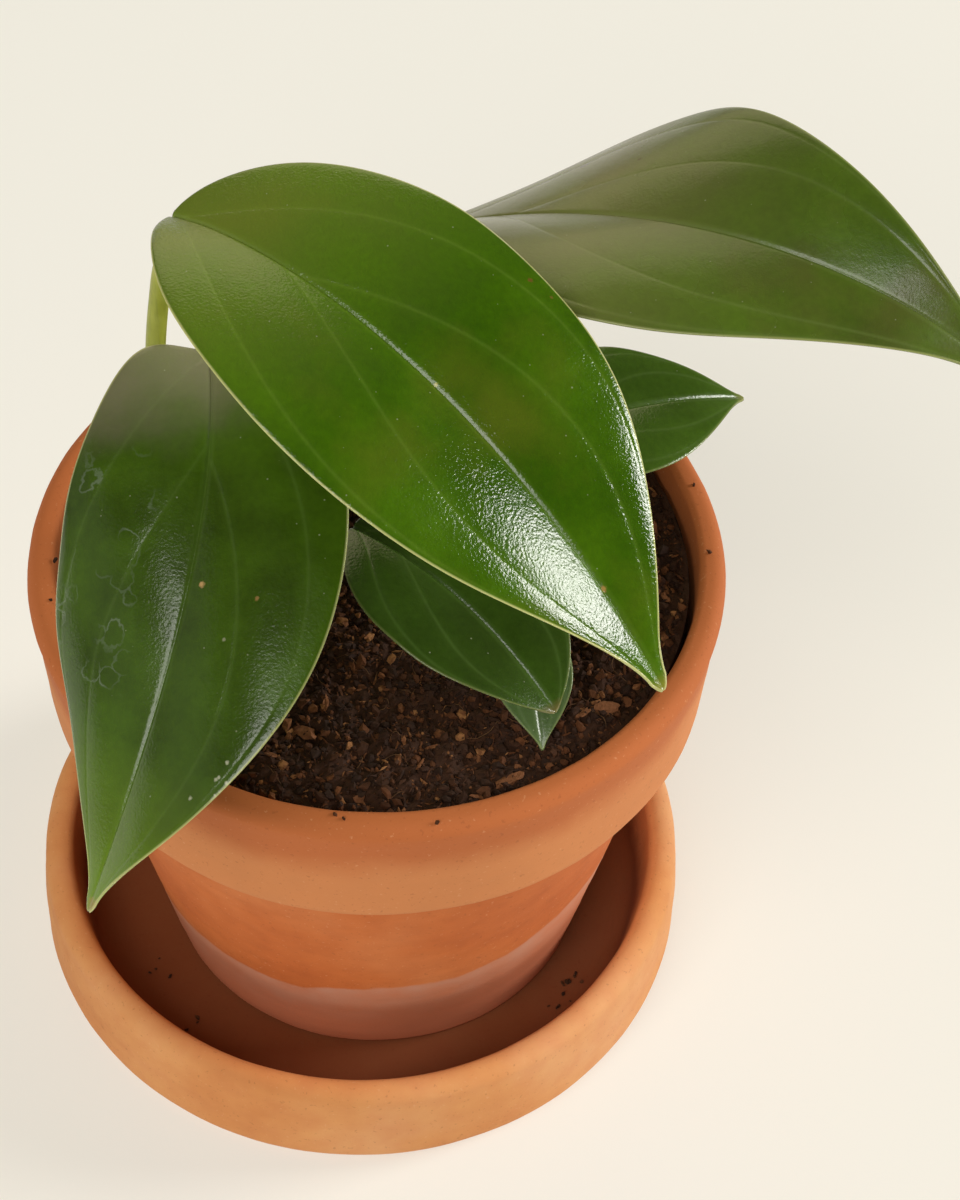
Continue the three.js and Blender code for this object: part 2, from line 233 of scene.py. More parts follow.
for light_name, facts in LIGHTS.items():
    aim_light(light_name, **facts)
lay_floor()
fill_world()
bpy.context.scene.view_settings.view_transform = "Standard"
bpy.context.scene.view_settings.look = "None"
print("lights:", ", ".join(LIGHTS))

# %% [markdown]
# ## Adding a piece
# Every new mesh is handed over in the same way: it is linked, gets its materials, rides with the one body
# that a standing pot has, and hides the plain solid that it stands for.

# %% Piece helper


def add_piece(name, mesh, materials, stands_for=(), smooth=True):
    for material in materials:
        mesh.materials.append(material)
    if smooth:
        mesh.shade_smooth()
    piece = link(name, mesh)
    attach(piece, "root")
    if stands_for:
        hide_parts(*stands_for)
    print(f"{name}: {len(mesh.polygons)} faces")


def add_number(mesh, name, values):
    """Stores one number at each point of a mesh, for its material to read."""
    attribute = mesh.attributes.new(name, "FLOAT", "POINT")
    attribute.data.foreach_set("value", np.asarray(values, np.float32))


# %% [markdown]
# ## Terracotta
# The pot and the saucer are pressed in a mould on a turning wheel and fired once, unglazed. So the outline
# is one profile spun about an axis. A fired edge is never sharp: each corner is a small arc. Fine ripples
# from the wheel run round the wall, and the surface swells and sinks by a tenth of a millimetre.

# %% Turned clay
SPIN_STEPS = 168
SAUCER_LOW, SAUCER_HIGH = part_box("saucer")
POT_LOW, POT_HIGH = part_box("pot")
POT_AXIS = (POT_LOW + POT_HIGH) / 2
POT_FOOT_Z = POT_LOW.z
POT_HEIGHT = (POT_HIGH.z - POT_LOW.z) / MM
RIM_RADIUS = (POT_HIGH.x - POT_LOW.x) / 2 / MM
COLLAR_RADIUS = RIM_RADIUS - 1.8
COLLAR_FOOT = 68.4
SHOULDER_RADIUS = 53.4
FOOT_RADIUS = 39.8
POT_WALL = 4.8
POT_BASE = 6.5
DRAIN_RADIUS = 6
SAUCER_HEIGHT = (SAUCER_HIGH.z - SAUCER_LOW.z) / MM
SAUCER_BELLY = (SAUCER_HIGH.x - SAUCER_LOW.x) / 2 / MM
SAUCER_RIM = SAUCER_BELLY - 0.5
SAUCER_FOOT = 54
SAUCER_FLOOR = 7
SAUCER_WALL = 5.5
SAUCER_LIP = SAUCER_WALL / 2
SAUCER_INNER = 53.6
WHEEL_RIPPLE = 3.4


def round_corner(radius, height, size, start, end, steps=6):
    """Points of a round corner in a profile, from one angle to another in degrees."""
    angles = [math.radians(start + (end - start) * i / steps) for i in range(steps + 1)]
    return [(radius + size * math.cos(a), height + size * math.sin(a)) for a in angles]


def spin_profile(profile, centre, closed, steps=SPIN_STEPS, longest=2.2):
    """A bmesh of a profile in millimetres spun round the vertical through centre."""
    shape = bmesh.new()
    points = [shape.verts.new((r * MM, 0, h * MM)) for r, h in profile]
    edges = [shape.edges.new(pair) for pair in zip(points, points[1:])]
    if closed:
        edges.append(shape.edges.new((points[-1], points[0])))
    for edge in list(edges):
        cuts = int(edge.calc_length() / (longest * MM))
        if cuts:
            bmesh.ops.subdivide_edges(shape, edges=[edge], cuts=cuts)
    bmesh.ops.spin(
        shape,
        geom=shape.verts[:] + shape.edges[:],
        cent=(0, 0, 0),
        axis=(0, 0, 1),
        angle=math.tau,
        steps=steps,
        use_merge=True,
    )
    bmesh.ops.remove_doubles(shape, verts=shape.verts, dist=0.02 * MM)
    bmesh.ops.recalc_face_normals(shape, faces=shape.faces)
    bmesh.ops.translate(shape, verts=shape.verts, vec=centre)
    return shape


def work_clay(shape, centre, ripple_mm, lumps_mm, seed):
    """Moves each point along its normal: wheel ripples round the wall, and slow unevenness everywhere."""
    shape.normal_update()
    drift = Vector((seed * 3.1, seed * 1.7, seed * 0.9))
    for point in shape.verts:
        place = (point.co - centre) / MM
        steep = 1 - abs(point.normal.z)
        waver = 0.6 * noise.noise(place / 30 + drift)
        ripple = math.sin(place.z * math.tau / WHEEL_RIPPLE + waver) * steep
        lump = noise.noise(place / 16 + drift) + 0.4 * noise.noise(place / 5 + drift)
        point.co += point.normal * (ripple * ripple_mm + lump * lumps_mm) * MM


POT_PROFILE = [
    (DRAIN_RADIUS, 0),
    *round_corner(FOOT_RADIUS - 1.5, 1.5, 1.5, -90, 0, 4),
    (SHOULDER_RADIUS - 0.3, COLLAR_FOOT - 1.6),
    (SHOULDER_RADIUS + 0.5, COLLAR_FOOT - 0.6),
    *round_corner(COLLAR_RADIUS - 2.2, COLLAR_FOOT + 2.2, 2.2, -90, 0, 6),
    (COLLAR_RADIUS + 1.0, POT_HEIGHT - 9),
    *round_corner(RIM_RADIUS - 2.6, POT_HEIGHT - 2.6, 2.6, 0, 90, 7),
    *round_corner(RIM_RADIUS - 3.4, POT_HEIGHT - 1.5, 1.5, 90, 170, 5),
    (RIM_RADIUS - POT_WALL - 1, COLLAR_FOOT + 2),
    (SHOULDER_RADIUS - POT_WALL - 0.9, COLLAR_FOOT - 4.1),
    (FOOT_RADIUS - POT_WALL + 1.7, POT_BASE + 2),
    (FOOT_RADIUS - POT_WALL - 0.7, POT_BASE),
    (DRAIN_RADIUS, POT_BASE),
]
SAUCER_PROFILE = [
    (0, 0),
    (SAUCER_FOOT, 0),
    *round_corner(SAUCER_FOOT + 1.2, 6, 6, -78, -8, 7),
    (SAUCER_BELLY, 9),
    (SAUCER_BELLY, 14),
    *round_corner(SAUCER_RIM - SAUCER_LIP, SAUCER_HEIGHT - SAUCER_LIP, SAUCER_LIP, 0, 180, 12),
    (SAUCER_INNER, SAUCER_FLOOR + 6),
    *round_corner(SAUCER_INNER - 5, SAUCER_FLOOR + 4.6, 4.6, -12, -90, 6),
    (0, SAUCER_FLOOR),
]
pot_centre = Vector((POT_AXIS.x, POT_AXIS.y, POT_FOOT_Z))
saucer_centre = Vector((0, 0, SAUCER_LOW.z))

# %% [markdown]
# ### Layers of finish
# A real surface is a base colour with other things over it: dust, damp, lime, veins. So a few helpers build
# it in layers. One works a fine pattern into a colour, one lays a shade over it where some value rises, one
# gives the share of a shade that has several limits, and one presses patterns into the skin.

# %% Layers of finish


def work_in(tree, colour, pattern, stops, share):
    """Works a pattern into a colour. Its stops are greys: below 0.5 they darken, above it they lighten."""
    greys = put(tree, "ShaderNodeValToRGB", {"Fac": pattern}, stops=stops).outputs["Color"]
    sockets = {"Factor": share, "A": colour, "B": greys}
    return put(tree, "ShaderNodeMix", sockets, data_type="RGBA", blend_type="OVERLAY").outputs["Result"]


def lay_over(tree, colour, shade, follows, start=0.0, full=1.0, most=1.0, easing="LINEAR"):
    """Lays a shade over a colour. It follows a value: none of it at start, and its greatest share at full."""
    limits = {"Value": follows, "From Min": start, "From Max": full, "To Max": most}
    share = put(tree, "ShaderNodeMapRange", limits, interpolation_type=easing).outputs[0]
    sockets = {"Factor": share, "A": colour, "B": shade}
    return put(tree, "ShaderNodeMix", sockets, data_type="RGBA").outputs["Result"]


def share_of(tree, limits):
    """The product of several limits. Each is a value, the two places that it passes, and the shares there."""
    share = 1.0
    for value, start, full, least, most in limits:
        ends = {"From Min": start, "From Max": full, "To Min": least, "To Max": most}
        part = put(tree, "ShaderNodeMapRange", {"Value": value, **ends}).outputs[0]
        share = put(tree, "ShaderNodeMath", {0: part, 1: share}, operation="MULTIPLY").outputs[0]
    return share


def emboss(tree, layers):
    """Presses patterns into a skin: each layer is a pattern, its height in mm, below 0 to sink it, and its
    strength."""
    normal = {}
    for pattern, height_mm, strength in layers:
        sockets = {"Height": pattern, "Distance": abs(height_mm) * MM, "Strength": strength, **normal}
        bump = put(tree, "ShaderNodeBump", sockets, invert=height_mm < 0)
        normal = {"Normal": bump.outputs["Normal"]}
    return normal["Normal"]


# %% [markdown]
# ### The clay's finish
# Unglazed earthenware is matt and porous. It is never one orange: the fire leaves paler and darker clouds,
# the wheel leaves faint rings, and grit leaves pale and dark specks. Water that soaks up from the saucer
# stains the foot a paler pink, and where that damp dries it leaves a pinkish line of lime.

# %% Terracotta material
LIME_HEIGHT = 31.5
GRIT_SHARE = 0.24


def terracotta(name, main, pale, dark, bands=(), lime_height=None, wet_inside=None):
    """Fired clay. bands give a height in mm, a colour and a share from there up. Damp has dried at
    lime_height, in mm, and water has stood within the radius wet_inside."""
    material, tree = new_material(name)
    place = put(tree, "ShaderNodeTexCoord").outputs["Object"]
    drawn_out = put(tree, "ShaderNodeMapping", {"Vector": place, "Scale": (0.12, 0.12, 1.0)}).outputs[0]
    clouds, mottle, grit, smudge, pores, rings = (
        put(
            tree, "ShaderNodeTexNoise", {"Vector": on, "Scale": per_metre(size), "Detail": detail}
        ).outputs["Fac"]
        for on, size, detail in (
            (place, 34, 4.0),
            (place, 4.5, 6.0),
            (place, 0.8, 3.0),
            (place, 15, 5.0),
            (place, 0.45, 4.0),
            (drawn_out, 2.6, 4.0),
        )
    )
    fired = put(tree, "ShaderNodeValToRGB", {"Fac": clouds}, stops=[(0.25, dark), (0.52, main), (0.8, pale)])
    colour = work_in(tree, fired.outputs["Color"], mottle, [(0.3, 0.34), (0.5, 0.5), (0.7, 0.62)], 0.24)
    colour = work_in(tree, colour, rings, [(0.3, 0.42), (0.5, 0.5), (0.7, 0.56)], 0.2)
    height = put(tree, "ShaderNodeSeparateXYZ", {"Vector": place}).outputs["Z"]
    sockets = {0: smudge, 1: 9 * MM, 2: height}
    uneven = put(tree, "ShaderNodeMath", sockets, operation="MULTIPLY_ADD").outputs[0]
    for foot, shade, most in bands:
        start, full = (foot + 1) * MM, (foot + 10) * MM
        colour = lay_over(tree, colour, shade, uneven, start, full, most, "SMOOTHSTEP")
    colour = lay_over(tree, colour, "#E9B88C", grit, 0.66, 0.72, GRIT_SHARE)
    colour = lay_over(tree, colour, "#7C3F22", grit, 0.36, 0.3, GRIT_SHARE)
    if lime_height is not None:
        colour = damp_foot(tree, place, colour, lime_height)
    if wet_inside is not None:
        colour = wet_hollow(tree, place, colour, wet_inside)
    relief = emboss(tree, [(pores, 0.12, 0.32), (rings, 0.25, 0.4)])
    gloss = {"Roughness": 0.82, "IOR": 1.45, "Specular IOR Level": 0.35}
    return give_surface(material, {"Base Color": colour, "Normal": relief, **gloss})


def damp_foot(tree, place, colour, height_mm):
    """Tints the clay a paler pink below a wavering, slightly slanted line, a little deeper further down, and
    lays lime along it.
    """
    split = put(tree, "ShaderNodeSeparateXYZ", {"Vector": place}).outputs
    waver, lime_cloud = (
        put(
            tree, "ShaderNodeTexNoise", {"Vector": place, "Scale": per_metre(size), "Detail": detail}
        ).outputs["Fac"]
        for size, detail in ((22, 5.0), (7, 6.0))
    )
    level = split["Z"]
    for pushed_by, amount in ((split["X"], -0.16), (waver, -9 * MM)):
        sockets = {0: pushed_by, 1: amount, 2: level}
        level = put(tree, "ShaderNodeMath", sockets, operation="MULTIPLY_ADD").outputs[0]
    # Millimetres over the line
    sockets = {0: level, 1: per_metre(1), 2: 4.5 - height_mm}
    level = put(tree, "ShaderNodeMath", sockets, operation="MULTIPLY_ADD").outputs[0]
    colour = lay_over(tree, colour, "#D17E5A", level, 0.8, -1.2, 0.8)
    lime = share_of(
        tree,
        [(level, -16.0, -0.6, 0.1, 0.85), (level, 0.9, 0.0, 0.0, 1.0), (lime_cloud, 0.3, 0.66, 0.3, 1.0)],
    )
    colour = lay_over(tree, colour, "#C99179", lime)
    return lay_over(tree, colour, "#C2704E", level, -6.0, -20.0, 0.5)


def wet_hollow(tree, place, colour, wall_radius):
    """Darkens a saucer inside its wall, where water has stood."""
    flat = put(tree, "ShaderNodeMapping", {"Vector": place, "Scale": (1.0, 1.0, 0.0)}).outputs[0]
    reach = put(tree, "ShaderNodeVectorMath", {0: flat}, operation="LENGTH").outputs["Value"]
    waver = put(tree, "ShaderNodeTexNoise", {"Vector": place, "Scale": per_metre(14), "Detail": 4.0})
    sockets = {0: waver.outputs["Fac"], 1: 2.2 * MM, 2: reach}
    edge = put(tree, "ShaderNodeMath", sockets, operation="MULTIPLY_ADD").outputs[0]
    height = put(tree, "ShaderNodeSeparateXYZ", {"Vector": place}).outputs["Z"]
    inside = (edge, (wall_radius + 2.6) * MM, (wall_radius - 0.2) * MM, 0.0, 0.9)
    over_foot = (height, 5 * MM, 6.5 * MM, 0.0, 1.0)
    return lay_over(tree, colour, "#662707", share_of(tree, [inside, over_foot]))


COLLAR_BAND = (POT_FOOT_Z / MM + COLLAR_FOOT - 4, "#D8945F", 0.62)
LIP_BAND = (POT_HIGH.z / MM - 12, "#B8602F", 0.75)
WET_RADIUS = 54.6
pot_clay = terracotta(
    "fired_earthenware_pot", "#C86C35", "#D4814C", "#BB5E2B", [COLLAR_BAND, LIP_BAND], lime_height=LIME_HEIGHT
)
saucer_clay = terracotta("fired_earthenware_saucer", "#DC985F", "#E3A778", "#CF854C", wet_inside=WET_RADIUS)

# %% Pot and saucer
pot_shape = spin_profile(POT_PROFILE, pot_centre, closed=True)
work_clay(pot_shape, pot_centre, ripple_mm=0.05, lumps_mm=0.16, seed=1)
add_piece("pot_clay", as_mesh("pot_clay", pot_shape), [pot_clay], ["pot"])
saucer_shape = spin_profile(SAUCER_PROFILE, saucer_centre, closed=False)
work_clay(saucer_shape, saucer_centre, ripple_mm=0.05, lumps_mm=0.14, seed=2)
for point in saucer_shape.verts:
    point.co.z = max(point.co.z, SAUCER_LOW.z)
add_piece("saucer_clay", as_mesh("saucer_clay", saucer_shape), [saucer_clay], ["saucer"])

# %% [markdown]
# ## Soil
# Potting soil is peat and composted bark. Its bed is one turned solid with a rough top, but what makes it
# look like soil is that no two crumbs are alike and that light is lost between them. So thousands of small
# crumbs are strewn on the bed with a seeded draw. Each crumb is a ball of a few faces, pushed out of shape
# once as a pattern and then turned and sized at random.

# %% Soil bed
SOIL_LOW, SOIL_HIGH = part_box("soil")
SOIL_RADIUS = (SOIL_HIGH.x - SOIL_LOW.x) / 2 / MM
SOIL_FILL = 91
SOIL_LUMP = 1.5
# Size in mm, seed and share of the bed's swells, crumbs and grains
SOIL_RELIEF = ((7, 4.2, 1.3), (2.2, 8.1, 0.75), (0.9, 1.3, 0.35))


def soil_height(x, y):
    """Height of the bed over the pot's foot, in mm, at a place over the pot's centre."""
    rough = sum(share * noise.noise(Vector((x / size, y / size, seed))) for size, seed, share in SOIL_RELIEF)
    wall = min(max((math.hypot(x, y) - (SOIL_RADIUS - 8)) / 8, 0), 1)
    return SOIL_FILL + SOIL_LUMP * rough * (1 - 0.4 * wall) - 0.8 * wall


def soil_bed():
    profile = [
        (0, POT_BASE + 0.3),
        (FOOT_RADIUS - POT_WALL - 1, POT_BASE + 0.3),
        (SHOULDER_RADIUS - POT_WALL - 1.3, COLLAR_FOOT - 3.8),
        (SOIL_RADIUS, COLLAR_FOOT + 2.3),
        (SOIL_RADIUS, SOIL_FILL),
        (0, SOIL_FILL),
    ]
    shape = spin_profile(profile, Vector(), closed=False, steps=260, longest=0.9)
    for point in shape.verts:
        x, y, z = point.co / MM
        if z > SOIL_FILL - 0.01:
            point.co.z = soil_height(x, y) * MM
    bmesh.ops.translate(shape, verts=shape.verts, vec=pot_centre)
    return as_mesh("soil_bed", shape)


# %% Crumbs, chips and fibres
CRUMB_COUNT = 9400
CRUMB_PATTERNS = 18
draw = np.random.default_rng(11)


def rough_ball(subdivisions, stretch, roughness, seed):
    """Points and triangles of one small ball pushed out of shape."""
    ball = bmesh.new()
    bmesh.ops.create_icosphere(ball, subdivisions=subdivisions, radius=1)
    for point in ball.verts:
        push = noise.noise(point.co * 1.3 + Vector((seed * 7.7, 0, seed)))
        point.co = Vector(np.array(point.co) * stretch) * (1 + roughness * push)
    ball.verts.index_update()
    points = np.array([v.co for v in ball.verts])
    faces = np.array([[v.index for v in f.verts] for f in ball.faces])
    ball.free()
    return points, faces


def strew(name, patterns, places, sizes, tilt, tints):
    """One mesh of many copies of the patterns, each turned by its own draw, with a tint for each copy."""
    points, faces, shades = [], [], []
    count = 0
    for i, (place, size) in enumerate(zip(places, sizes)):
        pattern, triangles = patterns[i % len(patterns)]
        turn = Matrix.Rotation(draw.uniform(0, math.tau), 3, "Z")
        turn = turn @ Matrix.Rotation(draw.uniform(-tilt, tilt), 3, "X")
        turn = turn @ Matrix.Rotation(draw.uniform(-tilt, tilt), 3, "Y")
        points.append((pattern * size) @ np.array(turn).T + place)
        faces.append(triangles + count)
        shades.append(np.full(len(pattern), tints[i]))
        count += len(pattern)
    mesh = bpy.data.meshes.new(name)
    mesh.from_pydata((np.concatenate(points) * MM).tolist(), [], np.concatenate(faces).tolist())
    add_number(mesh, "tint", np.concatenate(shades))
    return mesh


def soil_places(count, reach):
    """Random places on the bed's surface, in mm in the scene's own frame."""
    radius = reach * np.sqrt(draw.uniform(0, 1, count))
    angle = draw.uniform(0, math.tau, count)
    x, y = radius * np.cos(angle), radius * np.sin(angle)
    z = np.array([soil_height(a, b) for a, b in zip(x, y)])
    return np.stack([x, y, z], 1) + np.array(pot_centre) / MM


def soil_crumbs(name, smallest, largest, slimness):
    """A layer of crumbs. A slim one is a splinter of fibre, a stout one a lump of peat."""
    patterns = [
        rough_ball(1, (1, draw.uniform(*slimness), draw.uniform(*slimness)), 0.9, i)
        for i in range(CRUMB_PATTERNS)
    ]
    sizes = smallest + (largest - smallest) * draw.uniform(0, 1, CRUMB_COUNT) ** 3
    places = soil_places(CRUMB_COUNT, SOIL_RADIUS - 0.9)
    places[:, 2] += sizes * draw.uniform(-0.2, 0.6, CRUMB_COUNT)
    return strew(name, patterns, places, sizes, math.pi, draw.uniform(0, 1, CRUMB_COUNT) ** 1.9)


# Bark chips that show between the leaves, then loose ones elsewhere: x and y in mm, and half the length
SEEN_CHIPS = [
    (-7.1, -35.7, 3.2),
    (-4.0, -31.0, 2.2),
    (42.1, -28.8, 3.0),
    (38.5, -30.5, 1.9),
    (27.1, -43.8, 3.1),
    (22.1, -47.5, 2.0),
    (12.0, -41.6, 1.6),
    (50.5, 12.0, 2.2),
    (52.2, -4.0, 1.8),
    (-12.0, -42.0, 1.7),
]
LOOSE_CHIPS = 46
CHIP_PATTERNS = 8
CHIP_TILT = 0.5
CHIP_LIFT = 0.35


def bark_chips():
    patterns = [
        rough_ball(2, (1, draw.uniform(0.3, 0.5), draw.uniform(0.2, 0.34)), 0.75, 40 + i)
        for i in range(CHIP_PATTERNS)
    ]
    places = soil_places(LOOSE_CHIPS, SOIL_RADIUS - 4)
    seen = np.array([(x, y) for x, y, _ in SEEN_CHIPS])
    heights = [soil_height(x - pot_centre.x / MM, y - pot_centre.y / MM) for x, y in seen]
    seen = np.column_stack([seen, np.array(heights) + pot_centre.z / MM])
    places = np.concatenate([seen, places])
    places[:, 2] += CHIP_LIFT
    sizes = np.concatenate([[0.75 * half for *_, half in SEEN_CHIPS], draw.uniform(0.8, 2.0, LOOSE_CHIPS)])
    tints = np.concatenate([np.full(len(SEEN_CHIPS), 0.72), draw.uniform(0, 0.6, LOOSE_CHIPS)])
    return strew("bark_chips", patterns, places, sizes, CHIP_TILT, tints)


def rod_mesh(name, routes, radii, fineness):
    """Round rods along routes of points in mm, as one mesh, with a radius in mm at each point. A rod
    has four sides, and two more for each step of fineness."""
    curve = bpy.data.curves.new(name, "CURVE")
    curve.dimensions = "3D"
    curve.bevel_depth = MM
    curve.bevel_resolution = fineness
    curve.use_fill_caps = True
    curve.twist_mode = "MINIMUM"
    for route, widths in zip(routes, radii):
        spline = curve.splines.new("POLY")
        spline.points.add(len(route) - 1)
        for point, place, radius in zip(spline.points, route, widths):
            point.co = (*(Vector(place) * MM), 1)
            point.radius = radius
    holder = link(name, curve)
    bpy.context.view_layer.update()
    mesh = bpy.data.meshes.new_from_object(holder.evaluated_get(bpy.context.evaluated_depsgraph_get()))
    bpy.data.objects.remove(holder)
    bpy.data.curves.remove(curve)
    mesh.name = name
    return mesh


FIBRE_RADIUS = 0.08
FIBRE_STEPS = 8


def fibre_routes(count):
    routes = []
    for start in soil_places(count, SOIL_RADIUS - 5):
        heading = draw.uniform(0, math.tau)
        bend = draw.uniform(-0.35, 0.35)
        length = draw.uniform(1.5, 7)
        route = []
        x, y = start[:2]
        for step in range(FIBRE_STEPS + 1):
            local = (x - pot_centre.x / MM, y - pot_centre.y / MM)
            if math.hypot(*local) > SOIL_RADIUS - 1.5:
                break
            lift = 0.35 + 0.5 * math.sin(math.pi * step / FIBRE_STEPS)
            route.append((x, y, soil_height(*local) + pot_centre.z / MM + lift))
            x += math.cos(heading) * length / FIBRE_STEPS
            y += math.sin(heading) * length / FIBRE_STEPS
            heading += bend
        if len(route) > 3:
            routes.append(route)
    return routes


def strewn_material(name, stops, roughness, grain_mm, relief):
    """Loose matter whose colour follows each copy's own tint, broken up by a fine grain."""
    material, tree = new_material(name)
    place = put(tree, "ShaderNodeTexCoord").outputs["Object"]
    tint = put(tree, "ShaderNodeAttribute", attribute_name="tint").outputs["Fac"]
    sockets = {"Vector": place, "Scale": per_metre(grain_mm), "Detail": 5.0}
    grain = put(tree, "ShaderNodeTexNoise", sockets).outputs["Fac"]
    mixed = put(tree, "ShaderNodeMath", {0: grain, 1: 0.5, 2: tint}, operation="MULTIPLY_ADD").outputs[0]
    centred = put(tree, "ShaderNodeMath", {0: mixed, 1: -0.25}, operation="ADD").outputs[0]
    colour = put(tree, "ShaderNodeValToRGB", {"Fac": centred}, stops=stops).outputs["Color"]
    gloss = {"Roughness": roughness, "Specular IOR Level": 0.3}
    normal = emboss(tree, [(grain, 0.3, relief)])
    return give_surface(material, {"Base Color": colour, "Normal": normal, **gloss})


PEAT_STOPS = [(0.0, "#29160A"), (0.4, "#42240F"), (0.7, "#5A3318"), (0.9, "#6E4324"), (1.0, "#92633A")]
BARK_STOPS = [(0.0, "#2E1B0D"), (0.45, "#553218"), (0.8, "#805030"), (1.0, "#A4754A")]
FIBRE_STOPS = [(0.0, "#3A2412"), (1.0, "#6E4C2C")]
peat = strewn_material("damp_peat", PEAT_STOPS, roughness=0.85, grain_mm=0.7, relief=0.7)
bark = strewn_material("composted_bark", BARK_STOPS, roughness=0.8, grain_mm=0.5, relief=0.9)
fibre = strewn_material("root_fibre", FIBRE_STOPS, roughness=0.75, grain_mm=1.0, relief=0.2)

BED_TINT = 0.2
FIBRE_COUNT = 150
# Each layer's name, smallest and largest crumb in mm, and how slim they are
CRUMB_LAYERS = (("lumps", 0.3, 1.15, (0.6, 1)), ("splinters", 0.35, 1.2, (0.14, 0.32)))
bed_mesh = soil_bed()
add_number(bed_mesh, "tint", np.full(len(bed_mesh.vertices), BED_TINT))
add_piece("soil_bed", bed_mesh, [peat], ["soil"], smooth=False)
for layer, *facts in CRUMB_LAYERS:
    add_piece(f"soil_{layer}", soil_crumbs(f"soil_{layer}", *facts), [peat], smooth=False)
add_piece("bark_chips", bark_chips(), [bark], smooth=False)
threads = fibre_routes(FIBRE_COUNT)
thread_radii = [[FIBRE_RADIUS] * len(thread) for thread in threads]
fibre_mesh = rod_mesh("soil_fibres", threads, thread_radii, fineness=0)
add_number(fibre_mesh, "tint", draw.uniform(0, 1, len(fibre_mesh.vertices)))
add_piece("soil_fibres", fibre_mesh, [fibre])

# %% [markdown]
# ### Spilled crumbs
# Whoever watered the plant left a few crumbs on the rim and in the saucer. They are small, but an edge
# without any looks unused.

# %% Spilled crumbs
# Crumbs on the rim: x, y and half the length in mm. Then the small heaps in the saucer: x and y.
RIM_CRUMBS = [
    (-0.8, -55.6, 0.55),
    (0.6, -56.3, 0.4),
    (15.4, -56.1, 0.45),
    (-51.8, -5.3, 0.6),
    (-51.4, -14.2, 0.45),
    (59.4, 3.7, 0.55),
    (57.0, 19.2, 0.5),
]
SAUCER_HEAPS = [(-37.6, -24.0), (40.6, -25.5), (42.1, -22.8), (38.6, -28.2), (-30.0, -36.5), (14.0, -46.4)]
CRUMBS_IN_HEAP = 4


def spilled_crumbs():
    patterns = [rough_ball(1, (1, 0.8, 0.6), 0.8, 70 + i) for i in range(5)]
    places = [(x, y, POT_HIGH.z / MM + 0.1) for x, y, _ in RIM_CRUMBS]
    sizes = [half for *_, half in RIM_CRUMBS]
    for x, y in SAUCER_HEAPS:
        for _ in range(CRUMBS_IN_HEAP):
            spread = draw.normal(0, 1.3, 2)
            places.append((x + spread[0], y + spread[1], SAUCER_FLOOR + 0.25))
            sizes.append(draw.uniform(0.2, 0.6))
    tints = draw.uniform(0, 0.7, len(sizes))
    return strew("spilled_crumbs", patterns, np.array(places), sizes, math.pi, tints)


add_piece("spilled_crumbs", spilled_crumbs(), [peat], smooth=False)

# %% [markdown]
# ## The leaves
# A leaf is a sheet that grows along its midrib. So each blade starts as a flat grid, and a formula bends
# it: the midrib turns and droops, each half rises from it like an open book and curls down again at its
# edge. The same numbers shaped the plain solids, so the fine blades lie where those lie. Grid points also
# keep how far they are from the midrib and from the edge, in millimetres, which is what the veins and the
# pale edge are drawn from.

# %% Leaf sizes
# One value for each leaf, lengths in mm and angles in degrees. Each blade's base, length and width come
# first, then the way it heads and turns, the pitch and roll at both ends, and how its halves fold up, curl
# down and reach back beside the stalk. The next four shape its outline. The last three are where its side
# veins leave the midrib, how far its edge swings up and down in slow waves, and the rows and columns of its
# mesh.
LEAF_NAMES = ("centre", "left", "right", "back", "low", "small")
LEAF_FACTS = {
    "base": (
        (-28.5, -2.2, 179),
        (-23.3, -7.5, 156.2),
        (10.3, 33.5, 147.5),
        (21.6, 2.5, 124.6),
        (-0.5, -15.7, 126),
        (27.4, -15.4, 105.3),
    ),
    "length": (108, 93.5, 113, 49.5, 46, 24.7),
    "width": (52, 47.5, 55.5, 28, 30.5, 13.5),
    "heading": (-35, -80, -37, 28.5, -32, -79),
    "turn": (-4, -45, 20, -1, -18.5, 0),
    "pitch": (24, 4, 37, 17, 7.5, 12),
    "pitch_end": (-49, -59, -41, -25, -23.5, -33),
    "bend": (0.64, 0.75, 1.6, 0.74, 0.74, 0.7),
    "roll": (2, 4, -21, 7, -1, 0),
    "roll_end": (3, 27, 36, 6, -4.5, -1),
    "fold": (22, 19, 13, 19, 20, 20),
    "fold_end": (16, 12, 17, 12, 14.5, 12),
    "camber": (27, 39, 21, 25, 19, 22),
    "lobe": (-2, 4.7, -1, -1, -1, -1),
    "widest": (0.44, 0.43, 0.3, 0.43, 0.44, 0.44),
    "shoulder": (0.52, 0.51, 0.6, 0.52, 0.52, 0.52),
    "belly": (2.1, 2.1, 2.05, 2.1, 2.1, 2.1),
    "point": (1.4, 1.4, 1.8, 1.35, 0.85, 1.35),
    "vein_starts": ((0.0, 0.22), (0.0, 0.2), (-0.02, 0.15), (0.02, 0.24), (0.02, 0.22), (0.02, 0.24)),
    "edge_wave": (-0.34, -0.3, 0.36, 0.16, 0.15, 0.08),
    "grid": ((230, 112), (210, 104), (236, 116), (120, 64), (116, 68), (72, 40)),
}
LEAVES = {
    name: {fact: values[number] for fact, values in LEAF_FACTS.items()}
    for number, name in enumerate(LEAF_NAMES)
}
LONG_LEAF = 110
MIDRIB_STEPS = 240
BLADE_HALF = 0.2
STALK_END_HALF_WIDTH = 1.2
DRIP_TIP_HALF_WIDTH = 1.5
TIP_ROUNDING = 0.018
LOBE_PLACE = 0.06


def between(start, end, share):
    return start + (end - start) * share


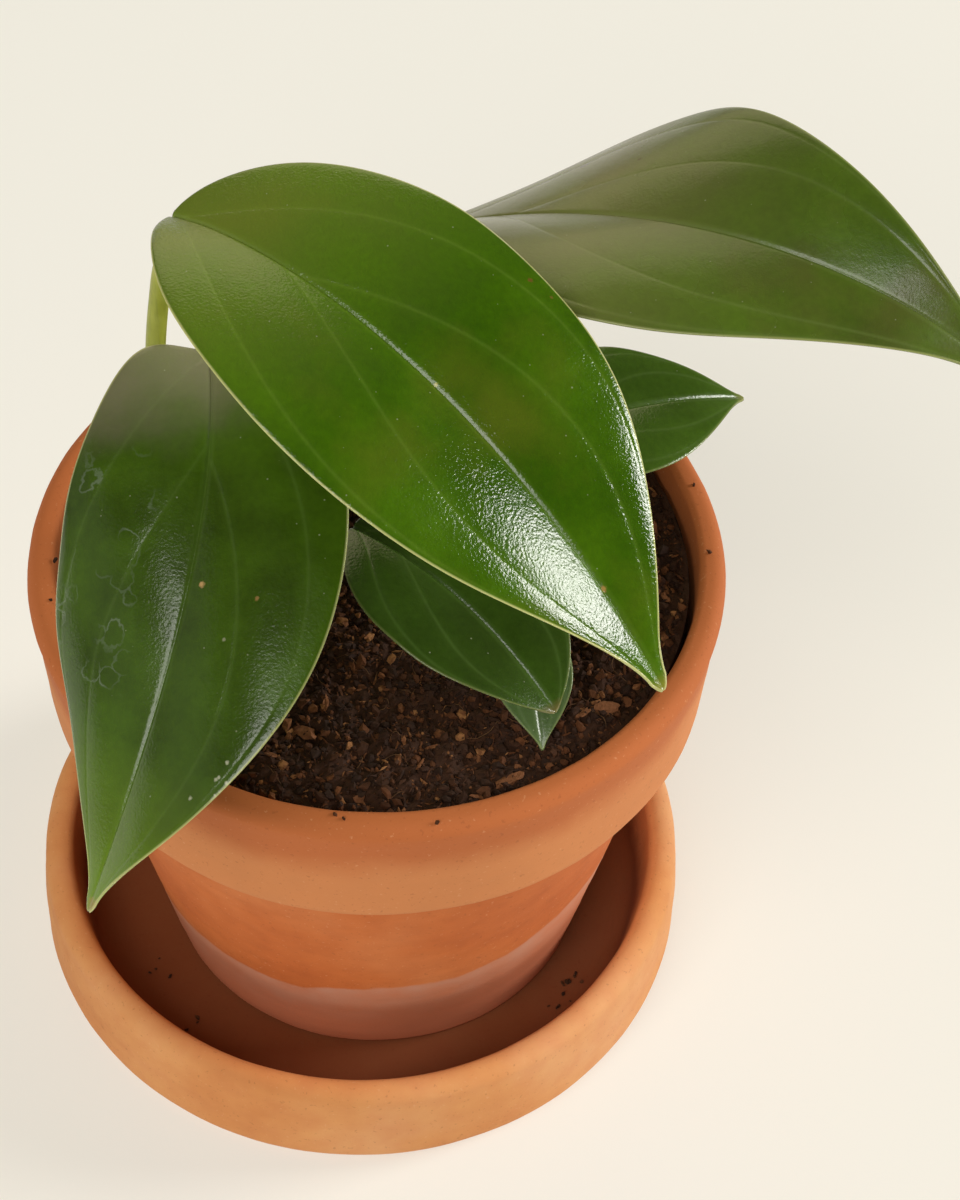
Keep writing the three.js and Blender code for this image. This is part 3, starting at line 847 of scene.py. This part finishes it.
def midrib(leaf, shares):
    """Points in mm, and along, across and up directions, of a leaf's midrib at shares of its length."""
    steps = np.linspace(0, 1, MIDRIB_STEPS + 1)

    def directions(s):
        heading = np.radians(leaf["heading"] + leaf["turn"] * s)
        pitch = np.radians(between(leaf["pitch"], leaf["pitch_end"], s ** leaf["bend"]))
        roll = np.radians(between(leaf["roll"], leaf["roll_end"], s))[:, None]
        along = np.stack([np.cos(pitch) * np.cos(heading), np.cos(pitch) * np.sin(heading), np.sin(pitch)], 1)
        level = np.stack([-np.sin(heading), np.cos(heading), 0 * heading], 1)
        lifted = np.cross(along, level)
        across = np.cos(roll) * level + np.sin(roll) * lifted
        up = -np.sin(roll) * level + np.cos(roll) * lifted
        return along, across, up

    middle = (steps[1:] + steps[:-1]) / 2
    walk = np.cumsum(directions(middle)[0] * leaf["length"] / MIDRIB_STEPS, axis=0)
    points = np.concatenate([[leaf["base"]], np.array(leaf["base"]) + walk])
    placed = np.stack([np.interp(shares, steps, points[:, i]) for i in range(3)], 1)
    return placed, *directions(shares)


def half_width(leaf, s):
    """Half the width of a blade in mm at shares of its length."""
    shoulder = np.clip(1 - (1 - s / leaf["widest"]) ** 2, 0, 1) ** leaf["shoulder"]
    towards_tip = np.clip((s - leaf["widest"]) / (1 - leaf["widest"]), 0, 1)
    belly = np.clip(1 - towards_tip ** leaf["belly"], 0, 1) ** leaf["point"]
    outline = np.where(s < leaf["widest"], shoulder, belly)
    ends = between(STALK_END_HALF_WIDTH, DRIP_TIP_HALF_WIDTH * leaf["length"] / LONG_LEAF, s)
    rounding = np.clip((1 - s) / TIP_ROUNDING, 0.02, 1) ** 0.5
    return np.hypot(leaf["width"] / 2 * outline, ends * rounding)


# %% [markdown]
# ### Veins
# Two side veins on each half leave the midrib at a small angle, swing out, and then run almost along the
# edge towards the tip. Each is the same curve, started further along and stretched a little. So one number,
# where the vein through a point began, tells which vein is near. Divided by how fast it changes, it becomes
# a distance in millimetres, and a line of an even width can be drawn from that.

# %% Vein distances and blade relief
VEIN_STAGGER = 0.015
VEIN_REACH = 0.23
VEIN_STRETCH = 1.22
GROOVE_DEPTH = 0.26
GROOVE_WIDTH = 0.36
CREASE_DEPTH = 0.13
ROLL_DEPTH = 0.32


def vein_start(s, v):
    """The share of the length at which the side vein through a point leaves the midrib."""
    bent = -np.log(1 - np.minimum(np.abs(v), 0.995))
    return (s - VEIN_REACH * bent) / (1 + VEIN_STRETCH * bent)


def vein_distances(leaf, s, v, half):
    """Signed distance in mm of each point from each side vein. The two halves start theirs a bit apart."""
    step = 1e-3
    here = vein_start(s, v)
    further = (vein_start(s + step, v) - here) / (step * leaf["length"])
    outwards = (vein_start(s, np.abs(v) * (1 - step)) - here) / (step * np.maximum(np.abs(v) * half, 0.02))
    steepness = np.hypot(further, outwards)
    return [(here - start - VEIN_STAGGER * np.sign(v)) / steepness for start in leaf["vein_starts"]]


def groove_depth(s):
    """Depth in mm of the groove over the midrib at shares of the length."""
    return GROOVE_DEPTH * (1 - s) ** 0.3


def blade_relief(leaf, s, v, distances, half):
    """Height in mm of a blade's relief over its smooth form: groove, creases, waves and rolled edge."""
    size = leaf["length"] / LONG_LEAF
    from_midrib = np.abs(v) * half
    from_edge = half - from_midrib
    fade = np.clip((1 - np.abs(v)) / 0.1, 0, 1) * np.clip(from_midrib / 2, 0, 1)
    groove = -groove_depth(s) * np.exp(-((from_midrib / GROOVE_WIDTH) ** 2))
    crease = sum(-CREASE_DEPTH * size * np.exp(-np.abs(d) / (1.5 * size)) for d in distances) * fade
    wave = leaf["edge_wave"] * np.sin(s * 19 + 2.2 * np.sign(v) + size * 3)
    wave = wave * np.abs(v) ** 4 * np.sin(np.pi * s)
    roll = -ROLL_DEPTH * size * np.exp(-from_edge / (0.7 * size)) * np.clip(half / 4, 0, 1)
    return groove + crease + wave + roll


# Share by which the columns crowd together at the midrib and at the edge
COLUMN_CROWDING = 0.6


def blade_mesh(name, leaf):
    """The fine blade: a grid bent by the leaf's formula."""
    grid = bmesh.new()
    rows, columns = leaf["grid"]
    bmesh.ops.create_grid(grid, x_segments=rows, y_segments=columns, size=1, calc_uvs=True)
    flat = np.array([point.co for point in grid.verts])
    s = (flat[:, 0] + 1) / 2
    s = (s + 0.5 - 0.5 * np.cos(np.pi * s)) / 2
    v = flat[:, 1] - COLUMN_CROWDING * np.sin(math.tau * flat[:, 1]) / math.tau
    points, along, across, up = midrib(leaf, s)
    half = half_width(leaf, s)
    veins = vein_distances(leaf, s, v, half)
    fold = np.radians(between(leaf["fold"], leaf["fold_end"], s**0.6))
    curl = np.radians(leaf["camber"]) / (leaf["width"] / 2)
    distance = np.abs(v) * half
    angle = fold - curl * distance
    out = (np.sin(fold) - np.sin(angle)) / curl
    rise = (np.cos(angle) - np.cos(fold)) / curl
    lift = blade_relief(leaf, s, v, veins, half)
    lobe = leaf["lobe"] * (s / LOBE_PLACE) * np.exp(1 - s / LOBE_PLACE) * np.abs(v) ** 1.5
    placed = (
        points
        + across * (np.sign(v) * (out - lift * np.sin(angle)))[:, None]
        + up * (rise + lift * np.cos(angle))[:, None]
        - along * lobe[:, None]
    )
    for point, place in zip(grid.verts, placed * MM):
        point.co = place
    mesh = as_mesh(name, grid)
    numbers = {
        "from_vein_0": np.clip(veins[0], -20, 20),
        "from_vein_1": np.clip(veins[1], -20, 20),
        "from_midrib": distance,
        "from_edge": half - distance,
        "across_mm": v * half,
        "along": s,
        "across": v,
    }
    for key, values in numbers.items():
        add_number(mesh, key, values)
    return mesh


# %% [markdown]
# ### The leaf's finish
# A young leaf is bright and wet-looking, an old one dark and dusty. Under the gloss the skin is pebbled
# like fine leather, which breaks every reflection into grains. The midrib and the main veins are paler, the
# edge is a thin cream line, and the underside is paler and duller. Some leaves carry dried rings of hard
# water and specks of dust. Near the stalk some leaves get a paler, greyer film. It is partly dust and partly
# a painted sheen that stands in for the pale wall that they mirror.

# %% Leaf material
DUST = "#B9BBA0"
DUST_SHARE = 0.4
CREAM_EDGE = "#D5D48E"
VEIN_HALF = 0.5
VEIN_HALO = 1.6


def read_numbers(tree, *names):
    """The numbers stored at a mesh's points, by name."""
    return {name: put(tree, "ShaderNodeAttribute", attribute_name=name).outputs["Fac"] for name in names}


def leaf_skin(
    name,
    length,
    deep,
    bright,
    vein,
    vein_share=0.14,
    roughness=0.2,
    pebble=0.05,
    edge_share=0.4,
    patch=None,
    base_film_and_sheen=None,
    tip=None,
    rings=0.0,
    marks=(),
):
    """The upper side of a leaf. patch is a duller colour in clouds. The pale film near the stalk is given by
    its colour, share and reach. It is partly dust and partly a painted sheen that stands in for the
    reflection of the pale wall behind. tip gives a colour, its start and its share. pebble is the skin's
    relief in mm. Each
    mark is a small stain or grain of dust: share along, mm across, radius, colour, strength."""
    material, tree = new_material(name)
    place = put(tree, "ShaderNodeTexCoord").outputs["Object"]
    read = read_numbers(
        tree, "from_vein_0", "from_vein_1", "from_midrib", "from_edge", "along", "across", "across_mm"
    )
    clouds, cells, spread, thin = (
        put(
            tree, "ShaderNodeTexNoise", {"Vector": place, "Scale": per_metre(size), "Detail": detail}
        ).outputs["Fac"]
        for size, detail in ((17, 4.0), (1.1, 4.0), (24, 5.0), (6, 2.0))
    )
    green = put(tree, "ShaderNodeValToRGB", {"Fac": clouds}, stops=[(0.34, deep), (0.66, bright)])
    colour = work_in(tree, green.outputs["Color"], cells, [(0.3, 0.4), (0.7, 0.58)], 0.5)
    if patch:
        colour = lay_over(tree, colour, patch, spread, 0.52, 0.7, 0.55)
    line = vein_lines(tree, read, VEIN_HALF)
    colour = lay_over(tree, colour, vein, vein_lines(tree, read, VEIN_HALO), most=0.3 * vein_share)
    colour = lay_over(tree, colour, vein, line, most=vein_share)
    colour = lay_over(tree, colour, vein, read["from_midrib"], 1.1, 0.2, 1.8 * vein_share)
    # Painted sheen: the paler film near the stalk is partly dust and partly a painted reflection of the pale
    # wall behind.
    if base_film_and_sheen:
        sheen_film_tone, most, reach = base_film_and_sheen
        sockets = {0: clouds, 1: 0.25, 2: read["along"]}
        ragged = put(tree, "ShaderNodeMath", sockets, operation="MULTIPLY_ADD").outputs[0]
        colour = lay_over(tree, colour, sheen_film_tone, ragged, reach + 0.12, 0.16, most, "SMOOTHSTEP")
    if tip:
        tip_tone, start, most = tip
        colour = lay_over(tree, colour, tip_tone, read["along"], start, 0.995, most)
    wear = {"From Min": 0.3, "From Max": 0.7, "To Min": roughness - 0.05, "To Max": roughness + 0.05}
    rough = put(tree, "ShaderNodeMapRange", {"Value": clouds, **wear}).outputs[0]
    if rings:
        colour, rough = water_rings(tree, place, read, colour, rough, rings)
    for mark in marks:
        colour = small_mark(tree, read, place, colour, length, *mark)
    specks = put(tree, "ShaderNodeTexVoronoi", {"Vector": place, "Scale": per_metre(2.6), "Randomness": 1.0})
    sockets = {0: specks.outputs["Distance"], 1: thin}
    speck_size = put(tree, "ShaderNodeMath", sockets, operation="DIVIDE").outputs[0]
    colour = lay_over(tree, colour, DUST, speck_size, 0.11, 0.06, DUST_SHARE)
    colour = lay_over(tree, colour, CREAM_EDGE, read["from_edge"], 0.4, 0.12, edge_share)
    gloss = {"Roughness": rough, "IOR": 1.45, "Specular IOR Level": 0.6}
    juicy = {"Subsurface Weight": 0.12, "Subsurface Radius": (0.6, 1.0, 0.2), "Subsurface Scale": 1 * MM}
    relief = leaf_relief(tree, place, line, pebble)
    return give_surface(material, {"Base Color": colour, "Normal": relief, **gloss, **juicy})


def small_mark(tree, read, place, colour, length, along, across_mm, radius, shade, strength):
    """Lays one ragged spot at a share along the leaf and a distance in mm across it."""
    sockets = {0: read["along"], 1: length, 2: -along * length}
    ahead = put(tree, "ShaderNodeMath", sockets, operation="MULTIPLY_ADD").outputs[0]
    aside = put(tree, "ShaderNodeMath", {0: read["across_mm"], 1: -across_mm}, operation="ADD").outputs[0]
    flat = put(tree, "ShaderNodeCombineXYZ", {"X": ahead, "Y": aside}).outputs[0]
    reach = put(tree, "ShaderNodeVectorMath", {0: flat}, operation="LENGTH").outputs["Value"]
    ragged = put(tree, "ShaderNodeTexNoise", {"Vector": place, "Scale": per_metre(0.5), "Detail": 2.0})
    sockets = {0: ragged.outputs["Fac"], 1: 1.4 * radius, 2: reach}
    frayed = put(tree, "ShaderNodeMath", sockets, operation="MULTIPLY_ADD").outputs[0]
    return lay_over(tree, colour, shade, frayed, 1.9 * radius, 1.2 * radius, strength)


def vein_lines(tree, read, width_mm):
    """1 on a side vein, falling to 0 at width_mm from it."""
    first, second = (
        put(tree, "ShaderNodeMath", {0: read[key]}, operation="ABSOLUTE").outputs[0]
        for key in ("from_vein_0", "from_vein_1")
    )
    near = put(tree, "ShaderNodeMath", {0: first, 1: second}, operation="MINIMUM").outputs[0]
    limits = {"Value": near, "From Min": width_mm, "From Max": 0.0, "To Max": 1.0}
    return put(tree, "ShaderNodeMapRange", limits, interpolation_type="SMOOTHSTEP").outputs[0]


def water_rings(tree, place, read, colour, rough, strength):
    """Dried rims of water drops: thin wavy outlines of single drops, on one side of the leaf."""
    warp, faint = (
        put(tree, "ShaderNodeTexNoise", {"Vector": place, "Scale": per_metre(size), "Detail": detail})
        for size, detail in ((2.6, 3.0), (9, 2.0))
    )
    sockets = {0: warp.outputs["Color"], 1: (3.4 * MM,) * 3, 2: place}
    moved = put(tree, "ShaderNodeVectorMath", sockets, operation="MULTIPLY_ADD").outputs[0]
    drops = put(tree, "ShaderNodeTexVoronoi", {"Vector": moved, "Scale": per_metre(5.5), "Randomness": 0.8})
    rim = put(tree, "ShaderNodeMath", {0: drops.outputs["Distance"], 1: -0.36}, operation="ADD").outputs[0]
    rim = put(tree, "ShaderNodeMath", {0: rim}, operation="ABSOLUTE").outputs[0]
    share = share_of(
        tree,
        [
            (rim, 0.045, 0.01, 0.0, strength),
            (read["across"], -0.28, -0.4, 0.0, 1.0),
            (read["along"], 0.74, 0.66, 0.0, 1.0),
            (read["along"], 0.2, 0.27, 0.0, 1.0),
            (faint.outputs["Fac"], 0.42, 0.58, 0.0, 1.0),
        ],
    )
    rough = put(tree, "ShaderNodeMath", {0: share, 1: 0.3, 2: rough}, operation="MULTIPLY_ADD").outputs[0]
    return lay_over(tree, colour, "#8E9A8A", share), rough


def leaf_relief(tree, place, line, pebble):
    """The pebbled skin, its slow unevenness, and the veins pressed into it."""
    pebbles, swell = (
        put(
            tree, "ShaderNodeTexNoise", {"Vector": place, "Scale": per_metre(size), "Detail": 2.0}
        ).outputs["Fac"]
        for size in (0.48, 3.4)
    )
    return emboss(tree, [(pebbles, pebble, 1.0), (swell, 0.11, 0.5), (line, -0.08, 0.35)])


def leaf_underside(name, main, vein):
    """The under side: paler and duller, with the same veins standing out."""
    material, tree = new_material(name)
    place = put(tree, "ShaderNodeTexCoord").outputs["Object"]
    clouds = put(tree, "ShaderNodeTexNoise", {"Vector": place, "Scale": per_metre(9), "Detail": 5.0})
    green = put(tree, "ShaderNodeValToRGB", {"Fac": clouds.outputs["Fac"]}, stops=[(0.3, main), (0.75, vein)])
    line = vein_lines(tree, read_numbers(tree, "from_vein_0", "from_vein_1"), 0.6)
    colour = lay_over(tree, green.outputs["Color"], vein, line, most=0.6)
    relief = emboss(tree, [(line, 0.15, 0.5)])
    return give_surface(material, {"Base Color": colour, "Normal": relief, "Roughness": 0.48, "IOR": 1.45})


# Grains of dust near the left leaf's edge: share along, mm across and radius
LEFT_LEAF_DUST = (
    (0.738, 12.3, 0.3),
    (0.696, 15.4, 0.24),
    (0.673, 15.8, 0.29),
    (0.758, 16.4, 0.25),
    (0.7, 15.1, 0.29),
    (0.699, 16.8, 0.28),
    (0.72, 15.8, 0.16),
)
# The film near each stalk is partly dust and partly a painted sheen for the pale wall that the leaf mirrors.
LEAF_LOOKS = {
    "centre": {
        "deep": "#315400",
        "bright": "#436802",
        "vein": "#7C9A3A",
        "vein_share": 0.12,
        "patch": "#5A6216",
        "base_film_and_sheen": ("#A0B04A", 0.31, 0.46),
        "tip": ("#8F8A36", 0.975, 0.8),
        "roughness": 0.14,
        "pebble": 0.085,
        "edge_share": 0.8,
        "marks": [
            (0.834, 0.2, 0.5, "#B08A4A", 0.9),
            (0.459, 23.6, 0.45, "#6B4A1E", 0.8),
            (0.494, 24.1, 0.3, "#7A5A2A", 0.6),
            (0.479, 0.4, 0.35, "#C9C06A", 0.7),
        ],
    },
    "left": {
        "deep": "#2B4004",
        "bright": "#42600A",
        "vein": "#64803A",
        "base_film_and_sheen": ("#9E967A", 0.6, 0.26),
        "rings": 0.3,
        "tip": ("#86A82C", 0.7, 0.6),
        "edge_share": 0.6,
        "marks": [
            (0.434, 2.6, 0.5, "#C9A06A", 0.9),
            (0.444, 12.1, 0.35, "#A07A48", 0.8),
            (0.511, 8.7, 0.3, "#A8A888", 0.6),
            (0.986, 0.9, 1.6, "#A88A4A", 0.7),
            *[(*grain, DUST, 0.8) for grain in LEFT_LEAF_DUST],
        ],
    },
    "right": {
        "deep": "#3F5612",
        "bright": "#506B17",
        "vein": "#768A48",
        "vein_share": 0.18,
        "patch": "#575029",
        "base_film_and_sheen": ("#9A965C", 0.6, 0.74),
        "roughness": 0.25,
        "pebble": 0.03,
        "edge_share": 0.3,
        "marks": [
            (0.208, 14.6, 1.1, "#5A4424", 0.9),
            (0.33, 13.1, 0.4, "#5A4424", 0.6),
        ],
    },
    "back": {
        "deep": "#3A5612",
        "bright": "#476619",
        "vein": "#728C4C",
        "tip": ("#8A8A45", 0.95, 0.8),
        "roughness": 0.19,
        "edge_share": 0.2,
    },
    "low": {
        "deep": "#263A0A",
        "bright": "#344E11",
        "vein": "#64803F",
        "tip": ("#6B5A32", 0.96, 0.8),
        "roughness": 0.18,
        "edge_share": 0.15,
    },
    "small": {
        "deep": "#42572C",
        "bright": "#506838",
        "vein": "#7F9668",
        "roughness": 0.27,
        "edge_share": 0.15,
    },
}
underside = leaf_underside("leaf_underside", "#4F7030", "#86A05A")

# %% [markdown]
# ### Stalks and vines
# A leaf stalk is a bent rod that swells where it clasps the vine and again in a small knee under the blade.
# A curve with a round bevel and a radius at each point gives both. Its last stretch runs on as the raised
# midrib under the leaf, so blade and stalk grow out of each other.

# %% Stalk and vine routes
VINES = {
    "vine_left": {
        "path": [(-4, 6, 84), (-6, 6, 97), (-13, 5, 107), (-22, 3, 116), (-29, 1, 124)],
        "radius": 2.7,
        "joints": (0.34, 0.62, 0.97),
    },
    "vine_back": {
        "path": [(5, 14, 84), (5, 15, 97), (4.6, 17, 106), (4.5, 18.5, 113)],
        "radius": 2.5,
        "joints": (0.58, 0.96),
    },
}
# Each stalk's radius and the points on its middle line, in mm
STALKS = {
    "centre": (
        1.6,
        [
            (-28.4, 1.2, 123),
            (-31.5, -1, 133),
            (-32.8, -3, 142),
            (-32.3, -2.8, 152.5),
            (-31.3, -2.5, 162),
            (-30, -2.3, 170),
        ],
    ),
    "left": (1.5, [(-15, 4.7, 109.2), (-18.5, 2.5, 120), (-22, -1, 133), (-24, -4.2, 144)]),
    "right": (1.6, [(4.5, 18.3, 112), (4.6, 23, 121), (5.5, 28, 131), (8, 31, 138.5)]),
    "back": (1.2, [(4.9, 15.4, 99.5), (8.5, 11.5, 108), (13.5, 7, 114), (18.6, 4, 117.5)]),
    "low": (1.2, [(-6.6, 6, 99), (-7.5, -0.5, 104), (-6.5, -8, 110.5), (-3.2, -13.2, 117)]),
    "small": (1.0, [(21.5, -3.5, 88), (22, -4.5, 96.5), (24, -8, 99.8), (26.4, -12.5, 101)]),
}
STALK_POINTS = 70
VINE_POINTS = 120
ROD_FINENESS = 7
RIDGE_FINENESS = 3
RIDGE_SEAT = 1.7
RIDGE_BITE = 0.3
RIDGE_RADIUS = 1.15
RIDGE_POINTS = 60
# Shares by which a rod is thicker where it clasps its vine, at its knee, at a joint and at a leaf's scar
CLASP_SWELL = 0.28
KNEE_SWELL = 0.1
JOINT_SWELL = 0.16
SCAR_SWELL = 0.07


def smooth_route(points, count):
    """Evenly shared points on a smooth curve through a few chosen ones, ends included."""
    chosen = np.array(points, float)
    ends = np.concatenate([[2 * chosen[0] - chosen[1]], chosen, [2 * chosen[-1] - chosen[-2]]])
    fine = []
    for a, b, c, d in zip(ends, ends[1:], ends[2:], ends[3:]):
        t = np.linspace(0, 1, 24, endpoint=False)[:, None]
        square, cube = 2 * a - 5 * b + 4 * c - d, 3 * b - a - 3 * c + d
        fine.append(0.5 * (2 * b + (c - a) * t + square * t**2 + cube * t**3))
    fine = np.concatenate(fine + [chosen[-1:]])
    lengths = np.concatenate([[0], np.cumsum(np.linalg.norm(np.diff(fine, axis=0), axis=1))])
    wanted = np.linspace(0, lengths[-1], count)
    return np.stack([np.interp(wanted, lengths, fine[:, i]) for i in range(3)], 1)


def stalk_route(name):
    """The stalk's chosen points, then one under the start of the blade's ridge, on a smooth curve."""
    radius, points = STALKS[name]
    base, along, _, up = (row[0] for row in midrib(LEAVES[name], np.array([0.0])))
    top = base + along * radius - up * RIDGE_SEAT
    return smooth_route([*points, top + up * 0.5], STALK_POINTS)


def stalk_radii(radius, count):
    t = np.linspace(0, 1, count)
    away = np.clip(t / 0.35, 0, 1)
    clasp = CLASP_SWELL * (1 - away**2 * (3 - 2 * away))
    knee = KNEE_SWELL * np.clip((t - 0.86) / 0.1, 0, 1)
    return radius * (1 + clasp + knee)


def vine_radii(vine, count):
    t = np.linspace(0, 1, count)
    swell = sum(JOINT_SWELL * np.exp(-(((t - joint) / 0.04) ** 2)) for joint in vine["joints"])
    scar = sum(SCAR_SWELL * np.exp(-(((t - joint + 0.05) / 0.012) ** 2)) for joint in vine["joints"])
    end = 1 - 0.35 * np.clip((t - 0.97) / 0.03, 0, 1)
    return vine["radius"] * (1 + swell + scar) * end


def stem_skin(name, main, pale, streak):
    """The skin of a stalk or a vine: lengthwise streaks and a soft gloss."""
    material, tree = new_material(name)
    place = put(tree, "ShaderNodeTexCoord").outputs["Object"]
    squeezed = put(tree, "ShaderNodeMapping", {"Vector": place, "Scale": (1.0, 1.0, 0.16)}).outputs[0]
    streaks, clouds = (
        put(
            tree, "ShaderNodeTexNoise", {"Vector": on, "Scale": per_metre(size), "Detail": 4.0}
        ).outputs["Fac"]
        for on, size in ((squeezed, 0.8), (place, 7))
    )
    green = put(tree, "ShaderNodeValToRGB", {"Fac": clouds}, stops=[(0.3, main), (0.7, pale)])
    colour = lay_over(tree, green.outputs["Color"], streak, streaks, 0.5, 0.72, 0.5)
    gloss = {"Roughness": 0.38, "IOR": 1.45}
    juicy = {"Subsurface Weight": 0.15, "Subsurface Radius": (0.8, 1.2, 0.3), "Subsurface Scale": 1 * MM}
    relief = emboss(tree, [(streaks, 0.15, 0.4)])
    return give_surface(material, {"Base Color": colour, "Normal": relief, **gloss, **juicy})


stalk_skin = stem_skin("leaf_stalk_skin", "#92982F", "#B2B550", "#7A8230")
vine_skin = stem_skin("vine_skin", "#5F6A30", "#7C8443", "#6E5B36")

# %% Stalks, vines and leaves


def join_meshes(name, meshes):
    """One mesh of several, each keeping its numbers where it has them."""
    joined = bmesh.new()
    for mesh in meshes:
        joined.from_mesh(mesh)
    return as_mesh(name, joined)


def ridge_mesh(name, leaf):
    """The raised midrib under a blade: a tapering rod whose top bites a little into the sheet."""
    shares = np.linspace(0.012, 0.93, RIDGE_POINTS)
    points, _, _, up = midrib(leaf, shares)
    thickest = RIDGE_RADIUS * (leaf["length"] / LONG_LEAF) ** 0.5
    radii = thickest * (1 - shares) ** 0.8 + 0.12
    depth = groove_depth(shares) + BLADE_HALF - RIDGE_BITE + radii
    ridge = rod_mesh(name, [points - up * depth[:, None]], [radii], RIDGE_FINENESS)
    ridge.polygons.foreach_set("material_index", np.full(len(ridge.polygons), 2, np.int32))
    return ridge


def thick_blade(name, sheet, ridge, skins):
    """The sheet with its thickness and its own lower side, and the ridge under it, as one mesh."""
    for skin in skins:
        sheet.materials.append(skin)
    holder = link(name, sheet)
    shell = holder.modifiers.new("thickness", "SOLIDIFY")
    shell.thickness = 2 * BLADE_HALF * MM
    shell.offset = 0
    shell.material_offset = 1
    graph = bpy.context.evaluated_depsgraph_get()
    thick = bpy.data.meshes.new_from_object(
        holder.evaluated_get(graph), preserve_all_data_layers=True, depsgraph=graph
    )
    bpy.data.objects.remove(holder)
    return join_meshes(name, [thick, ridge])


for vine_name, vine in VINES.items():
    route = smooth_route(vine["path"], VINE_POINTS)
    vine_mesh = rod_mesh(vine_name, [route], [vine_radii(vine, VINE_POINTS)], ROD_FINENESS)
    add_piece(f"{vine_name}_skin", vine_mesh, [vine_skin], [vine_name])

for leaf_name, leaf in LEAVES.items():
    radius, _ = STALKS[leaf_name]
    radii = stalk_radii(radius, STALK_POINTS)
    stalk_mesh = rod_mesh(f"stalk_{leaf_name}", [stalk_route(leaf_name)], [radii], ROD_FINENESS)
    add_piece(f"stalk_{leaf_name}_skin", stalk_mesh, [stalk_skin], [f"stalk_{leaf_name}"])
    upper_side = leaf_skin(f"leaf_skin_{leaf_name}", leaf["length"], **LEAF_LOOKS[leaf_name])
    skins = [upper_side, underside, stalk_skin]
    sheet = blade_mesh(f"sheet_{leaf_name}", leaf)
    blade = thick_blade(f"blade_{leaf_name}", sheet, ridge_mesh(f"ridge_{leaf_name}", leaf), skins)
    add_piece(f"blade_{leaf_name}", blade, skins, [f"leaf_{leaf_name}"])
